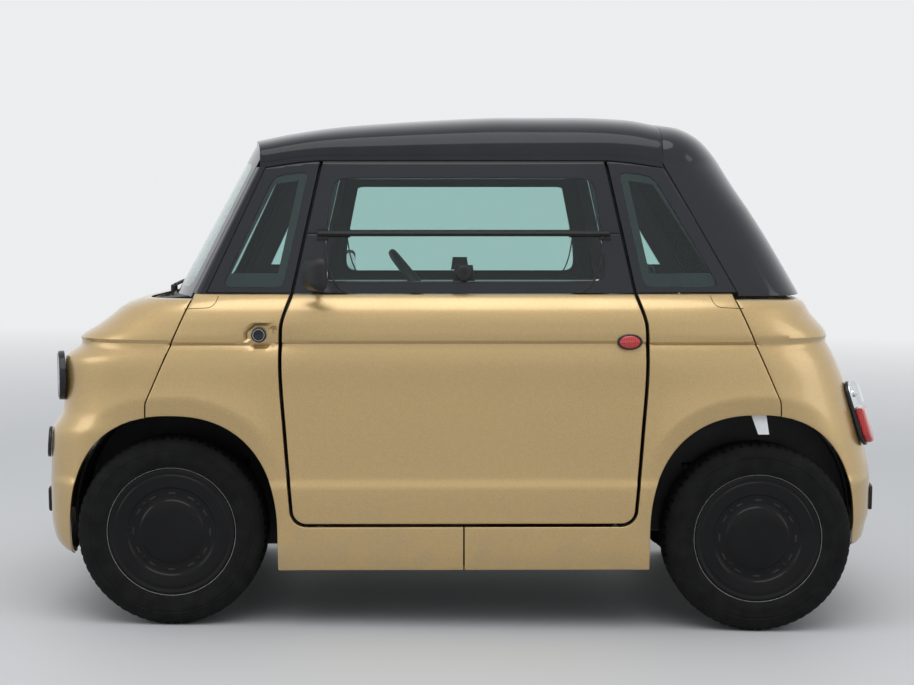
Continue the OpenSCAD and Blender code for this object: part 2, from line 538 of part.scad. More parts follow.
// The far half of each liner stops short of the curved end panel.
module liner(s, y_in) mirror([s < 0 ? 1 : 0, 0, 0]) {
    across(y_in, liner_y) difference() {
        polygon(arch_outline(1 + liner_t, sill_z + 40));
        polygon(arch_outline(1, sill_z + 39));
        translate([arch_x + 85.4, 0]) square([410, 900]);
    }
    across(y_in, 485) difference() {
        polygon(arch_outline(1 + liner_t, sill_z + 85));
        polygon(arch_outline(1, sill_z + 84));
        translate([arch_x - 500, 0]) square([584.4, 900]);
    }
    across(y_in - liner_t, y_in + 1) difference() {
        polygon(arch_outline(1 + liner_t, sill_z + 85));
        translate([arch_x - 190, 0]) square([380, arch_z + 190]);
    }
}
module wheel_liners() color(MATT_BLACK) raked() both_sides() {
    liner(1, rail_y + 38 + fit + liner_t);
    liner(-1, 452);
}

module battery_pack() color(STEEL) raked()
    block([-door_x + 40, -200, floor_z + fit], [-door_x + 190, 200, floor_z + 130]);

module drive_unit() color([0.55, 0.55, 0.57]) raked() {
    block([-arch_x + 40, -150, rail_z - 60], [-arch_x + 260, 150, rail_z + 120]);
    block([-arch_x + 110, -rail_y + fit, rail_z + 10], [-arch_x + 150, rail_y - fit, rail_z + 40]);
}

// ---- Running gear, level with the road ----
hub_z = tyre_r;
king_y = wheel_y - kingpin_set;
king_low = hub_z - 108;
king_high = hub_z + 122;
rack_x = front_x - steer_arm;
rack_z = hub_z - 28;
module front_suspension() color(MATT_BLACK) {
    post_top = road_z(arch_x, rail_z) - 0.8;
    both_sides() {
        block([front_x - 20, 240, king_low - 22], [front_x + 20, king_y - 10, king_low - fit]);
        translate([front_x, king_y, king_low - 22]) cylinder(r = 20, h = 22 - fit);
        block([front_x - 18, rail_y - 10, king_high + fit], [front_x + 18, king_y - 10, king_high + 18]);
        translate([front_x, king_y, king_high + fit]) cylinder(r = 18, h = 18 - fit);
        // Spring and damper, standing on the lower arm
        translate([front_x, king_y - 120, king_low - 6]) cylinder(r = 17, h = 90);
        translate([front_x, king_y - 120, king_low + 80]) cylinder(r = 28, h = 180);
        block([front_x - 22, rail_y - 22, king_low - 22], [front_x + 22, rail_y + 30, post_top]);
        block([front_x - 18, rail_y - 22, king_low], [front_x + 18, rail_y - 4, king_high + 18]);
    }
    block([front_x - 25, -245, king_low - 22], [front_x + 25, 245, king_low]);
    // Rack housing, held by two legs
    difference() {
        union() {
            translate([rack_x, -150, rack_z]) along_y() cylinder(r = 22, h = 300);
            for (y = [-120, 100])
                block([rack_x, y, king_low - 20], [front_x, y + 20, king_low]);
            for (y = [-120, 100])
                block([rack_x - 10, y, king_low - 20], [rack_x + 10, y + 20, rack_z - 5]);
        }
        translate([rack_x, -160, rack_z]) along_y() cylinder(r = 12 + fit, h = 320);
    }
}

// Sliding bar with both tie rods; its ends sit on the steering arms
module steering_rack() color(STEEL) {
    translate([rack_x, -200, rack_z]) along_y() cylinder(r = 12, h = 400);
    both_sides() {
        translate([rack_x, 195, rack_z]) along_y() cylinder(r = 8, h = king_y - 195);
        translate([rack_x, king_y, rack_z - 9]) cylinder(r = 13, h = 18);
    }
}

// Upright with kingpin, stub axle and steering arm; y is measured from the wheel's centre plane
module knuckle() color(STEEL) {
    translate([0, -kingpin_set, -108]) cylinder(r = 14, h = 230);
    translate([0, -kingpin_set - 22, 0]) along_y() cylinder(r = 36, h = kingpin_set + 22);
    translate([0, -2, 0]) along_y() cylinder(r = spindle_r, h = 36);
    arm_top = rack_z - 9 - hub_z - fit;
    block([-steer_arm, -kingpin_set - 11, arm_top - 12], [0, -kingpin_set + 11, arm_top]);
    translate([-steer_arm, -kingpin_set, arm_top - 12]) cylinder(r = 13, h = 12);
}
module knuckle_left() translate([front_x, wheel_y, hub_z]) knuckle();
module knuckle_right() mirror([0, 1, 0]) knuckle_left();

module rear_axle() color(MATT_BLACK) {
    top = road_z(-arch_x, rail_z) - 0.8;
    translate([rear_x, -wheel_y, hub_z]) along_y() cylinder(r = 22, h = 2 * wheel_y);
    both_sides() {
        translate([rear_x, wheel_y - 2, hub_z]) along_y() cylinder(r = spindle_r, h = 36);
        translate([rear_x, wheel_y - 52, hub_z]) along_y() cylinder(r = 36, h = 52);
        block([rear_x - 18, rail_y, hub_z - 10], [rear_x + 18, rail_y + 34, top]);
        block([rear_x, 395, hub_z - 16], [-door_x - 40, 425, hub_z + 14]);
        translate([rear_x - 60, 410, hub_z]) cylinder(r = 17, h = 90);
        translate([rear_x - 60, 410, hub_z + 80]) cylinder(r = 28, h = 120);
        block([rear_x - 78, 392, hub_z - 16], [rear_x, 428, hub_z + 14]);
    }
}

module tyre() color([0.05, 0.05, 0.05]) along_y() rotate_extrude($fn = 96) {
    w = tyre_w / 2;
    r = rim_r + fit;
    h = tyre_r - r;
    polygon([[r, -w + 20], [r + 0.25 * h, -w + 5], [r + 0.52 * h, -w], [r + 0.8 * h, -w + 4], [tyre_r - 6, -w + 15],
        [tyre_r, -w + 32], [tyre_r, w - 32], [tyre_r - 6, w - 15], [r + 0.8 * h, w - 4], [r + 0.52 * h, w],
        [r + 0.25 * h, w - 5], [r, w - 20]]);
}
// Rim with its closed cover; the hub turns on the stub axle
module wheel() color(GLOSS_BLACK) along_y() rotate_extrude($fn = 96) {
    w = tyre_w / 2;
    polygon([[spindle_r + fit, fit], [48, fit], [48, 26], [rim_r - 13, 26], [rim_r - 13, -w + 12], [rim_r, -w + 12],
        [rim_r, w - 17], [rim_r + 8, w - 14], [rim_r + 8, w - 9], [rim_r - 8, w - 7], [rim_r - 20, w - 12], [70, w - 15],
        [62, w - 9], [0, w - 9], [0, 36], [spindle_r + fit, 36]]);
}
module at_front() translate([front_x, wheel_y, hub_z]) children();
module at_rear() translate([rear_x, wheel_y, hub_z]) children();
module tyre_front_left() at_front() tyre();
module tyre_front_right() mirror([0, 1, 0]) at_front() tyre();
module tyre_rear_left() at_rear() tyre();
module tyre_rear_right() mirror([0, 1, 0]) at_rear() tyre();
module wheel_front_left() at_front() wheel();
module wheel_front_right() mirror([0, 1, 0]) at_front() wheel();
module wheel_rear_left() at_rear() wheel();
module wheel_rear_right() mirror([0, 1, 0]) at_rear() wheel();

// ---- Cabin ----
wheel_cx = door_x - 414;
wheel_cz = belt_z - 14;
module on_column() translate([wheel_cx, seat_y, wheel_cz]) rotate([0, 90 + column_tilt, 0]) children();
module steering_wheel() color(MATT_BLACK) raked() on_column() {
    rotate_extrude($fn = 64) translate([wheel_d / 2 - 13, 0]) circle(13, $fn = 24);
    translate([0, 0, 12]) cylinder(r = 45, h = 30);
    for (a = [90, 270, 0])
        rotate([0, 0, a]) translate([30, -14, 14]) rotate([0, 6, 0]) cube([wheel_d / 2 - 42, 28, 10]);
    translate([0, 0, 30]) cylinder(r = 10, h = 110);
}
dash_x = door_x - 90;
// Reach of the opening door's front corner past its hinge, which the ends of the dash keep clear of
door_swing = norm([door_x - door_gap / 2 - hinge_x, hinge_y - cab_y(0, belt_z) + 46]);
dash_y = hinge_y - door_swing - 8;
module dashboard() color(MATT_BLACK) raked() {
    both_sides()
        block([hinge_x + door_swing + 11, dash_y - 60, belt_z - 250], [door_x + 85, strip_y - fit, belt_z - 200]);
    across(-dash_y, dash_y) polygon([[dash_x + 25, belt_z - 300], [dash_x + 5, belt_z - 200],
        [dash_x, belt_z - 120], [dash_x + 20, belt_z - 88], [door_x + 55, belt_z - 76], [door_x + 55, belt_z - 300]]);
    across(-500, 500) polygon([[door_x + 50, belt_z - 250], [door_x + 50, belt_z - 76], [screen_base - 160, belt_z - 70],
        [screen_base - 160, belt_z - 148], [well_x + 20, belt_z - 250]]);
    // Column, its shroud and the display behind the wheel
    difference() {
        on_column() translate([0, 0, 60]) cylinder(r = 27, h = 410);
        on_column() translate([0, 0, 59]) cylinder(r = 10 + fit, h = 90);
    }
    on_column() translate([-75, -70, 170]) cube([60, 140, 90]);
    block([dash_x + 10, seat_y - 80, belt_z - 90], [dash_x + 22, seat_y + 80, belt_z + 10]);
    // Pedals hanging under the dash
    for (y = [seat_y - 130, seat_y - 60]) {
        block([dash_x + 120, y - 8, belt_z - 560], [dash_x + 134, y + 8, belt_z - 290]);
        block([dash_x + 112, y - 24, belt_z - 620], [dash_x + 124, y + 24, belt_z - 550]);
        block([dash_x + 112, y - 8, belt_z - 562], [dash_x + 134, y + 8, belt_z - 545]);
    }
}
seat_x = -door_x + 160;
module seat() {
    // Pedestal, then the side outline of cushion, back and head rest
    block([-door_x + 200, -seat_w / 2 + 50, floor_z + fit], [-60, seat_w / 2 - 50, seat_z - 60]);
    across(-seat_w / 2, seat_w / 2) polygon([[seat_x - 60, seat_z - 95], [-50, seat_z - 75], [-25, seat_z - 45],
        [-35, seat_z - 5], [-70, seat_z + 10], [-160, seat_z + 2], [seat_x + 70, seat_z - 12], [seat_x + 20, seat_z + 5],
        [seat_x - 10, seat_z + 80], [seat_x - 120, seat_z + 460], [seat_x - 145, seat_z + 475],
        [seat_x - 205, seat_z + 455], [seat_x - 210, seat_z + 430], [seat_x - 90, seat_z + 10]]);
    across(-120, 120) polygon([[seat_x - 125, seat_z + 440], [seat_x - 172, seat_z + 625], [seat_x - 190, seat_z + 640],
        [seat_x - 225, seat_z + 630], [seat_x - 232, seat_z + 605], [seat_x - 185, seat_z + 430]]);
}
module seats() color([0.12, 0.12, 0.13]) raked() both_sides() translate([0, seat_y, 0]) seat();

// ---- Lamps, pads and locks ----
lamp_z = crease_z - 106;
lamp_r = 74;
lamp_a = 18.5;
low_lamp_a = 15;
tail_lamp_a = 22;
module on_skin(f, a, z, lift) facing(f([a, z]), normal(f, [a, z])) translate([0, 0, lift]) children();
module headlamps() color([0.8, 0.85, 0.9]) raked() for (s = [-1, 1]) {
    on_skin(nose_skin, s * lamp_a, lamp_z, 1.5) cylinder(r = lamp_r, h = 20);
    on_skin(nose_skin, s * low_lamp_a, crease_z - 310, 0.4) cylinder(r = 47, h = 12);
}
module tail_lamps() color([0.6, 0.1, 0.08]) raked() for (s = [-1, 1])
    on_skin(tail_skin, s * tail_lamp_a, crease_z - 226, 0.4) {
        translate([58, 0, 0]) cylinder(r = 42, h = 34);
        translate([-58, 0, 0]) cylinder(r = 42, h = 34);
        block([-58, -42, 0], [58, 42, 34]);
    }
module pad(f, reach) {
    g = [for (z = [pad_low, (pad_low + pad_high) / 2, pad_high]) [for (k = steps(-1, 1, 12)) [reach * k * abs(k), z]]];
    wall(level_sunk(f, g, -pad_proud), level_sunk(f, g, -0.9));
}
module bumper_pads() color(MATT_BLACK) raked() {
    pad(nose_skin, 14);
    pad(tail_skin, 18);
}
// Push buttons in the wings beside the doors' free edges
module door_locks() color(GLOSS_BLACK) raked() for (s = [-1, 1])
    translate([s * (door_x + 60), 0, crease_z + 25]) mirror([0, s < 0 ? 1 : 0, 0])
        translate([0, side_y(s * (door_x + 36), crease_z + 40) + fit, 0]) along_y() cylinder(r = 22, h = 9);

// ---- Doors: one moulding, used at both sides ----
door_rows = sorted(concat([door_bottom + door_gap / 2, door_bottom + 12, door_bottom + 25, door_bottom + door_r],
    [for (k = [3:len(SIDE_SET) - 1]) SIDE_SET[k][0]]));
function door_half(z) = door_line(z, -door_gap / 2);
module door_panel() color(GOLD) {
    g = [for (z = door_rows) [for (k = [-4:4]) [door_half(z) * k / 4, z]]];
    low = half_w - 29 - door_t;
    high = cab_y(0, belt_z) - 46;
    Q = [for (row = g) [for (p = row) [p[0], mix(low, high, (p[1] - door_bottom) / (belt_z - door_bottom)), p[1]]]];
    wall(moved(side_skin, g, [0, 0, 0]), Q, [], true);
}
flap_z = belt_z + 173;
function door_cols(z) = let (x = door_half(z)) [-x, -x + window_border, -150, 150, x - window_border, x];
door_high = cant_z - 13;
module door_part(rows, t0, t1, holes = []) {
    g = [for (z = rows) [for (x = door_cols(z)) [x, z]]];
    wall(moved(cab_skin, g, [0, -t0, 0]), moved(cab_skin, g, [0, -t1, 0]), holes, true);
}
module door_window() color(GLOSS_BLACK)
    door_part([belt_z + fit, belt_z + 36, door_high - 48, door_high], glass_t + fit, glass_t + 20, [[1, 2, 1, 4]]);
module door_panes() color(TINTED) {
    door_part([belt_z + 2, flap_z], 0, glass_t);
    door_part([flap_z + 4, door_high], 0, glass_t);
}
mirror_x = door_x - 95;
module door_fittings() color(MATT_BLACK) {
    // Bar over the joint between the panes, on standoffs
    x = door_half(flap_z) - 30;
    translate([-x, cab_y(0, flap_z - 6) + fit, flap_z - 6]) cube([2 * x, 10, 16]);
    // Catch of the flap
    translate([0, cab_y(0, belt_z + 36) + fit + 2, belt_z + 60]) along_y() cylinder(r = 24, h = 16);
    translate([-38, cab_y(0, belt_z + 36) + fit, belt_z + 36]) cube([76, 6, 48]);
    // Mirror on a short stalk
    rod([mirror_x - 12, cab_y(mirror_x, belt_z + 31) + fit, belt_z + 34], [mirror_x - 12, half_w + 10, belt_z + 52], 9);
    block([mirror_x - 35, half_w - 10, belt_z + 8], [mirror_x + 15, half_w + 112, belt_z + 112]);
}
module door_lens() color([0.6, 0.05, 0.05])
    translate([-door_x + 54, side_y(-door_x + 54, crease_z + 32) + fit, crease_z + 5]) along_y()
        scale([1.6, 1, 1]) cylinder(r = 23, h = 9, $fn = 96);
module on_right() rotate([0, 0, 180]) children();
module door_left() raked() door_panel();
module door_left_frame() raked() door_window();
module door_left_glass() raked() door_panes();
module door_left_fittings() raked() door_fittings();
module door_left_lens() raked() door_lens();
module door_right() raked() on_right() door_panel();
module door_right_frame() raked() on_right() door_window();
module door_right_glass() raked() on_right() door_panes();
module door_right_fittings() raked() mirror([0, 1, 0]) door_fittings();
module door_right_lens() raked() mirror([0, 1, 0]) door_lens();

nose();
tail();
quarter_front_left();
quarter_front_right();
quarter_rear_left();
quarter_rear_right();
roof();
windscreen();
pillar_trims();
rear_surround();
rear_screen();
quarter_glass();
cabin_frame();
floor_pan();
wheel_liners();
battery_pack();
drive_unit();
front_suspension();
rear_axle();
dashboard();
seats();
headlamps();
tail_lamps();
bumper_pads();
cowl();
door_locks();
steering_wheel();
steering_rack();
knuckle_left();
knuckle_right();
tyre_front_left();
tyre_front_right();
tyre_rear_left();
tyre_rear_right();
wheel_front_left();
wheel_front_right();
wheel_rear_left();
wheel_rear_right();
door_left();
door_left_frame();
door_left_glass();
door_left_fittings();
door_left_lens();
door_right();
door_right_frame();
door_right_glass();
door_right_fittings();
door_right_lens();
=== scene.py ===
"""Looks of the two-seat microcar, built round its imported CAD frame.

Body work is drawn in millimetres in the car's own level frame, then turned by the rake into the frame
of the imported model. The skins follow the curves of the CAD panels, sampled more finely.
"""
import math

import bmesh
import bpy
import numpy as np
from mathutils import Matrix, Vector
from mathutils.geometry import delaunay_2d_cdt


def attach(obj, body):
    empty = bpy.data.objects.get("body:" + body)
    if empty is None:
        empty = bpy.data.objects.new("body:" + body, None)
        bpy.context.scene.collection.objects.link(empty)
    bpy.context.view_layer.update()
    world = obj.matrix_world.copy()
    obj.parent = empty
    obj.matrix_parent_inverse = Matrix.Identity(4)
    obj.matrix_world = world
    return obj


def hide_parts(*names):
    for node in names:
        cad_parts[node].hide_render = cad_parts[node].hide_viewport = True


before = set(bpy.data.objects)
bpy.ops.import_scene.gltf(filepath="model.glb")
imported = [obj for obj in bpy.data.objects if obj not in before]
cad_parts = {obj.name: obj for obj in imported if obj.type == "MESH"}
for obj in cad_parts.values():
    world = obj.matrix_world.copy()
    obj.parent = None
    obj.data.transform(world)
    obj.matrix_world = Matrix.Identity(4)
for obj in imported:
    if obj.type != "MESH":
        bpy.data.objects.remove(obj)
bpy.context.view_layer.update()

MM = 0.001

# ---- Driving sizes, in millimetres ----
LENGTH, WIDTH, HEIGHT = 2535.0, 1398.0, 1526.0
RAKE = math.radians(0.76)
SILL_Z, CREASE_Z, BELT_Z = 180.0, 848.0, 990.0
PAD_PROUD = 10.0
HALF_L, HALF_W = LENGTH / 2 - PAD_PROUD, WIDTH / 2
TYRE_R, TYRE_W, RIM_R = 278.5, 155.0, 178.0
FRONT_X, REAR_X, WHEEL_Y = 859.0, -869.0, 560.0
ARCH_X, ARCH_Z, ARCH_A, ARCH_B, ARCH_N = 855.0, 280.0, 310.0, 356.0, 2.35
ARCH_TOP = ARCH_Z + ARCH_B
SEAM, DOOR_GAP, DOOR_T, PANEL_T, GLASS_T, ROOF_T = 4.0, 10.0, 55.0, 20.0, 4.0, 12.0
DOOR_X = ARCH_X - ARCH_A - 12
DOOR_BOTTOM = SILL_Z + 134
DOOR_R = 45.0
CANT_Z = HEIGHT - 139
NOSE_N, TAIL_N, ROOF_N = 7.5, 6.0, 3.4
ROAD = Matrix.Scale(MM, 4)
PAD_MID = SILL_Z + 179
BODY = Matrix.Translation((-math.sin(RAKE) * PAD_MID * MM, 0, 0)) @ Matrix.Rotation(RAKE, 4, "Y") @ ROAD


# ---- Curves through a few knots ----
def curve(knots):
    """Smooth line through (at, value) knots that never overshoots them, level beyond the ends."""
    x, y = (np.array(v, float) for v in zip(*sorted(knots)))
    step = np.diff(x)
    rise = np.diff(y) / step
    slope = np.zeros(len(x))
    same = rise[:-1] * rise[1:] > 0
    near, far = 2 * step[1:] + step[:-1], step[1:] + 2 * step[:-1]
    with np.errstate(divide="ignore", invalid="ignore"):
        mean = (near + far) / (near / rise[:-1] + far / rise[1:])
    slope[1:-1] = np.where(same, mean, 0)
    slope[0], slope[-1] = rise[0], rise[-1]

    def at(v):
        v = np.clip(np.asarray(v, float), x[0], x[-1])
        i = np.clip(np.searchsorted(x, v) - 1, 0, len(x) - 2)
        t = (v - x[i]) / step[i]
        a = (1 + 2 * t) * (1 - t) ** 2 * y[i] + t * (1 - t) ** 2 * step[i] * slope[i]
        return a + t * t * (3 - 2 * t) * y[i + 1] + t * t * (t - 1) * step[i] * slope[i + 1]

    return at


nose_set = curve([(SILL_Z + 29, 54), (SILL_Z + 45, 30), (SILL_Z + 79, 9), (SILL_Z + 140, 0),
                  (CREASE_Z - 428, 0), (CREASE_Z - 334, 3), (CREASE_Z - 263, 10), (CREASE_Z - 236, 28),
                  (CREASE_Z - 211, 40), (CREASE_Z - 148, 47), (CREASE_Z - 51, 50), (CREASE_Z - 36, 66),
                  (CREASE_Z - 22, 90), (CREASE_Z - 3, 103), (CREASE_Z + 3, 96), (CREASE_Z + 48, 158),
                  (BELT_Z - 60, 203), (BELT_Z - 42, 224), (BELT_Z - 25, 256), (BELT_Z - 14, 290)])
tail_set = curve([(SILL_Z + 41, 53), (SILL_Z + 59, 21), (SILL_Z + 106, 9), (SILL_Z + 140, 0),
                  (CREASE_Z - 428, 0), (CREASE_Z - 315, 20), (CREASE_Z - 192, 60), (CREASE_Z - 106, 93),
                  (CREASE_Z - 14, 139), (CREASE_Z - 3, 147), (CREASE_Z + 3, 140), (BELT_Z - 58, 198),
                  (BELT_Z - 30, 214), (BELT_Z - 18, 236)])
side_set = curve([(SILL_Z, 44), (SILL_Z + 50, 35), (DOOR_BOTTOM, 29), (DOOR_BOTTOM + 112, 21),
                  (DOOR_BOTTOM + 136, 27), (DOOR_BOTTOM + 286, 23), (CREASE_Z - 148, 20),
                  (CREASE_Z - 58, 15), (CREASE_Z - 14, 18), (CREASE_Z - 3, 22), (CREASE_Z + 3, 12),
                  (CREASE_Z + 32, 8), (CREASE_Z + 57, 8), (BELT_Z - 50, 13), (BELT_Z - 25, 24),
                  (BELT_Z - 10, 38), (BELT_Z, 52)])
door_offset = curve([(DOOR_BOTTOM + DOOR_R, -29), (DOOR_BOTTOM + 255, -13), (CREASE_Z - 61, 0),
                     (CREASE_Z + 40, -3), (BELT_Z, -32), (BELT_Z + 130, -59.5), (BELT_Z + 260, -87),
                     (CANT_Z, -116)])
crown_drop = curve([(-800, -108), (-718, -58), (-587, -22), (-488, -6), (-325, 0), (-129, 0), (34, -6),
                    (197, -16), (360, -29), (523, -52), (637, -76)])


def fall(e, n):
    return np.maximum(1 - np.abs(e) ** n, 0) ** (1 / n)


def mix(a, b, t):
    return a * (1 - t) + b * t


def ramp(v, low, high):
    """0 below low, 1 above high, smooth between."""
    t = np.clip((v - low) / (high - low), 0, 1)
    return t * t * (3 - 2 * t)


# ---- Surfaces of the body ----
FLARE_H, FLARE_LIP, FLARE_REACH = 17.0, 45.0, 95.0


def arch_share(x, z):
    dx = np.abs(np.abs(x) - ARCH_X) / ARCH_A
    dz = np.maximum(z - ARCH_Z, 0) / ARCH_B
    return (dx**ARCH_N + dz**ARCH_N) ** (1 / ARCH_N)


def flare(x, z):
    """Swelling of the wing round its arch: a flat lip, a crease, and a long fade above it."""
    d = (arch_share(x, z) - 1) * ARCH_A - FLARE_LIP
    fade = np.clip((np.abs(x) - DOOR_X + 50) / 130, 0, 1)
    fade = fade * np.clip((ARCH_X + ARCH_A + 30 - np.abs(x)) / 110, 0, 1)
    lip = FLARE_H * (1 - 0.85 * np.minimum(-d / FLARE_LIP, 1))
    return fade * np.where(d < 0, lip, FLARE_H * np.exp(-np.maximum(d, 0) / FLARE_REACH))


def end_l(sign, z):
    return HALF_L - (nose_set(z) if sign > 0 else tail_set(z))


LOCK_X, LOCK_Z, CUP_DEPTH = DOOR_X + 60, CREASE_Z + 25, 15


def lock_scoop(x, z):
    """Depth of the finger recess round the lock button, running out over the door's edge."""
    dx, dz = x - LOCK_X + 8, z - LOCK_Z + 2
    cup = CUP_DEPTH * ramp(38 - np.hypot(np.maximum(np.abs(dx) - 14, 0), dz), 0, 12)
    wash = 7 * np.exp(-((dx + 40) / 85) ** 2 - ((dz + 20) / 30) ** 2)
    return np.maximum(cup, wash)


def side_y(x, z):
    front = x > 0
    l = np.where(front, end_l(1, z), end_l(-1, z))
    n = np.where(front, NOSE_N, TAIL_N)
    return (HALF_W - side_set(z)) * fall(np.minimum(np.abs(x) / l, 1), n) + flare(x, z)


def side_skin(p):
    return np.stack([p[:, 0], side_y(p[:, 0], p[:, 1]), p[:, 1]], 1)


def scooped_skin(p):
    q = side_skin(p)
    q[:, 1] -= lock_scoop(p[:, 0], p[:, 1])
    return q


def cab_y(x, z):
    return HALF_W - 61 - (z - BELT_Z) * 0.215 - 6.8e-8 * np.abs(x) ** 3


def cab_skin(p):
    return np.stack([p[:, 0], cab_y(p[:, 0], p[:, 1]), p[:, 1]], 1)


class Arc:
    """Quarter of a superellipse by its length: 0 in the middle of the flat end, signed."""

    def __init__(self, n, along, across):
        self.n = n
        self.angle = np.linspace(0, math.pi / 2, 4001)
        c, s = self.shares(self.angle)
        self.length = np.concatenate([[0], np.cumsum(np.hypot(np.diff(c * along), np.diff(s * across)))])

    def shares(self, angle, n=None):
        p = 2 / (self.n if n is None else n)
        return np.abs(np.cos(angle)) ** p, np.abs(np.sin(angle)) ** p

    def angle_at(self, s):
        return np.interp(np.abs(s), self.length, self.angle) * np.sign(s)


nose_arc, tail_arc = Arc(NOSE_N, HALF_L, HALF_W), Arc(TAIL_N, HALF_L, HALF_W)


def end_point(sign, angle, z):
    n = NOSE_N if sign > 0 else TAIL_N
    x = sign * end_l(sign, z) * np.abs(np.cos(angle)) ** (2 / n)
    y = (HALF_W - side_set(z)) * np.abs(np.sin(angle)) ** (2 / n) + np.sin(angle) ** 4 * flare(x, z)
    return np.stack([x, np.sign(angle) * y, z], 1)


def nose_skin(p):
    return end_point(1, nose_arc.angle_at(p[:, 0]), p[:, 1])


def tail_skin(p):
    return end_point(-1, tail_arc.angle_at(p[:, 0]), p[:, 1])


# Foot of the seam between a wing and an end panel, on the arch
SEAM_FOOT_X, SEAM_FOOT_Z = ARCH_X + 73, ARCH_Z + 351


def split_x(z):
    line = [(SEAM_FOOT_Z, 73), (ARCH_Z + 393, 70), (BELT_Z - 7, -68)]
    return ARCH_X + np.interp(z, *zip(*line))


def arch_half(z):
    return ARCH_A * fall(np.clip((z - ARCH_Z) / ARCH_B, 0, 1), ARCH_N)


def door_line(z, off):
    """Middle of the door gap moved outwards by off, with a rounded lower corner."""
    z = np.asarray(z, float)
    c, r = DOOR_BOTTOM + DOOR_R, DOOR_R + off
    low = DOOR_X - 29 - DOOR_R + np.sqrt(np.maximum(r * r - (c - z) ** 2, 0))
    return np.where(z < c, low, DOOR_X + door_offset(z) + off)


SCREEN_BASE = HALF_L - 331
SCREEN_BOW = 3.4e-4


def screen_x(y, z):
    return SCREEN_BASE - (z - BELT_Z + 35) * 0.55 - SCREEN_BOW * y * y


def screen_skin(p):
    return np.stack([screen_x(p[:, 0], p[:, 1]), p[:, 0], p[:, 1]], 1)


DOOR_TOP_X = DOOR_X - 116
FRONT_GLASS_X, REAR_GLASS_X, GLASS_TOP_X = ARCH_X - 103, ARCH_X - 53, DOOR_TOP_X + 160
ROOF_FRONT = SCREEN_BASE - 276
ROOF_END = -(GLASS_TOP_X + 12)


ROOF_INSET = 0.3  # keeps the finer roof under the faceted one of the frame


def crown_z(x):
    return HEIGHT - ROOF_INSET + crown_drop(x)


def cant_line(x):
    return CANT_Z - 19 * np.clip((np.abs(x) - DOOR_TOP_X) / 160, 0, 1) ** 1.5 + 5


roof_arc = Arc(ROOF_N, 130, 548)


def roof_skin(p):
    """Roof by its station and the length round its arch from the middle."""
    up, out = roof_arc.shares(roof_arc.angle_at(p[:, 1]))
    bow = 0.5 * SCREEN_BOW * np.clip((p[:, 0] - 300) / (ROOF_FRONT - 300), 0, 1)
    x = p[:, 0]
    for _ in range(4):
        cant = cant_line(x)
        y = out * cab_y(x, cant)
        x = p[:, 0] - bow * y * y
    return np.stack([x, y * np.sign(p[:, 1]), cant + (crown_z(x) - cant) * up], 1)


CAP_SEAM = float(cant_line(ROOF_END))
cap_l = curve([(BELT_Z - 8, 211), (BELT_Z + 153, 303), (BELT_Z + 326, 412), (CAP_SEAM, 444),
               (CAP_SEAM + 44, 476), (CAP_SEAM + 74, 503), (CAP_SEAM + 101, 540), (CAP_SEAM + 119, 578),
               (CAP_SEAM + 138, 670)])
CAP_LOW, CAP_HIGH = BELT_Z - 8, float(crown_z(ROOF_END)) - 3
cap_arc = Arc(3.2, 500, 560)


def cap_skin(p):
    """Rear cap by the length round it from the middle of the back, and its height."""
    z, angle = p[:, 1], cap_arc.angle_at(p[:, 0])
    edge = -mix(REAR_GLASS_X + 3, -ROOF_END, np.clip((z - BELT_Z) / (CAP_SEAM - BELT_Z), 0, 1))
    top = cab_y(ROOF_END, CAP_SEAM) * fall(np.clip((z - CAP_SEAM) / (crown_z(ROOF_END) - CAP_SEAM), 0, 1),
                                           ROOF_N)
    half = np.where(z <= CAP_SEAM, cab_y(edge, z), top)
    n = mix(3.2, 2.3, np.clip((z - BELT_Z - 250) / 250, 0, 1))
    along, out = np.abs(np.cos(angle)) ** (2 / n), np.abs(np.sin(angle)) ** (2 / n)
    l = np.maximum(HALF_L - cap_l(z), 1 - edge)
    return np.stack([edge - (l + edge) * along, np.sign(p[:, 0]) * half * out, z], 1)


def normals(skin, p, e=0.5):
    u, v = np.array([e, 0]), np.array([0, e])
    n = np.cross(skin(p + u) - skin(p - u), skin(p + v) - skin(p - v))
    n /= np.maximum(np.linalg.norm(n, axis=1), 1e-9)[:, None]
    out = skin(p) - np.array([0, 0, 700.0])
    return n * np.where((n * out).sum() < 0, -1, 1)


# ---- Parts: a part is (points, faces) in millimetres ----
def loop_faces(a, b, n):
    """Quads between two closed rings of n points that start at indices a and b."""
    return [(a + i, a + (i + 1) % n, b + (i + 1) % n, b + i) for i in range(n)]


def joined(parts):
    points, faces, at = [], [], 0
    for v, f in parts:
        points.append(np.asarray(v, float))
        faces += [tuple(k + at for k in face) for face in f]
        at += len(v)
    return np.concatenate(points), faces


def mirrored(part):
    return part[0] * np.array([1, -1, 1]), [tuple(reversed(f)) for f in part[1]]


def turned(part):
    return part[0] * np.array([-1, -1, 1]), part[1]


def moved(part, matrix):
    a = np.array(matrix)
    return part[0] @ a[:3, :3].T + a[:3, 3], part[1]


def spaced(outline, pitch):
    """The closed outline with points no further apart than pitch."""
    out = []
    for p, q in zip(outline, np.roll(outline, -1, 0)):
        n = max(1, int(np.ceil(np.linalg.norm(q - p) / pitch)))
        out += [mix(p, q, k / n) for k in range(n)]
    return np.array(out)


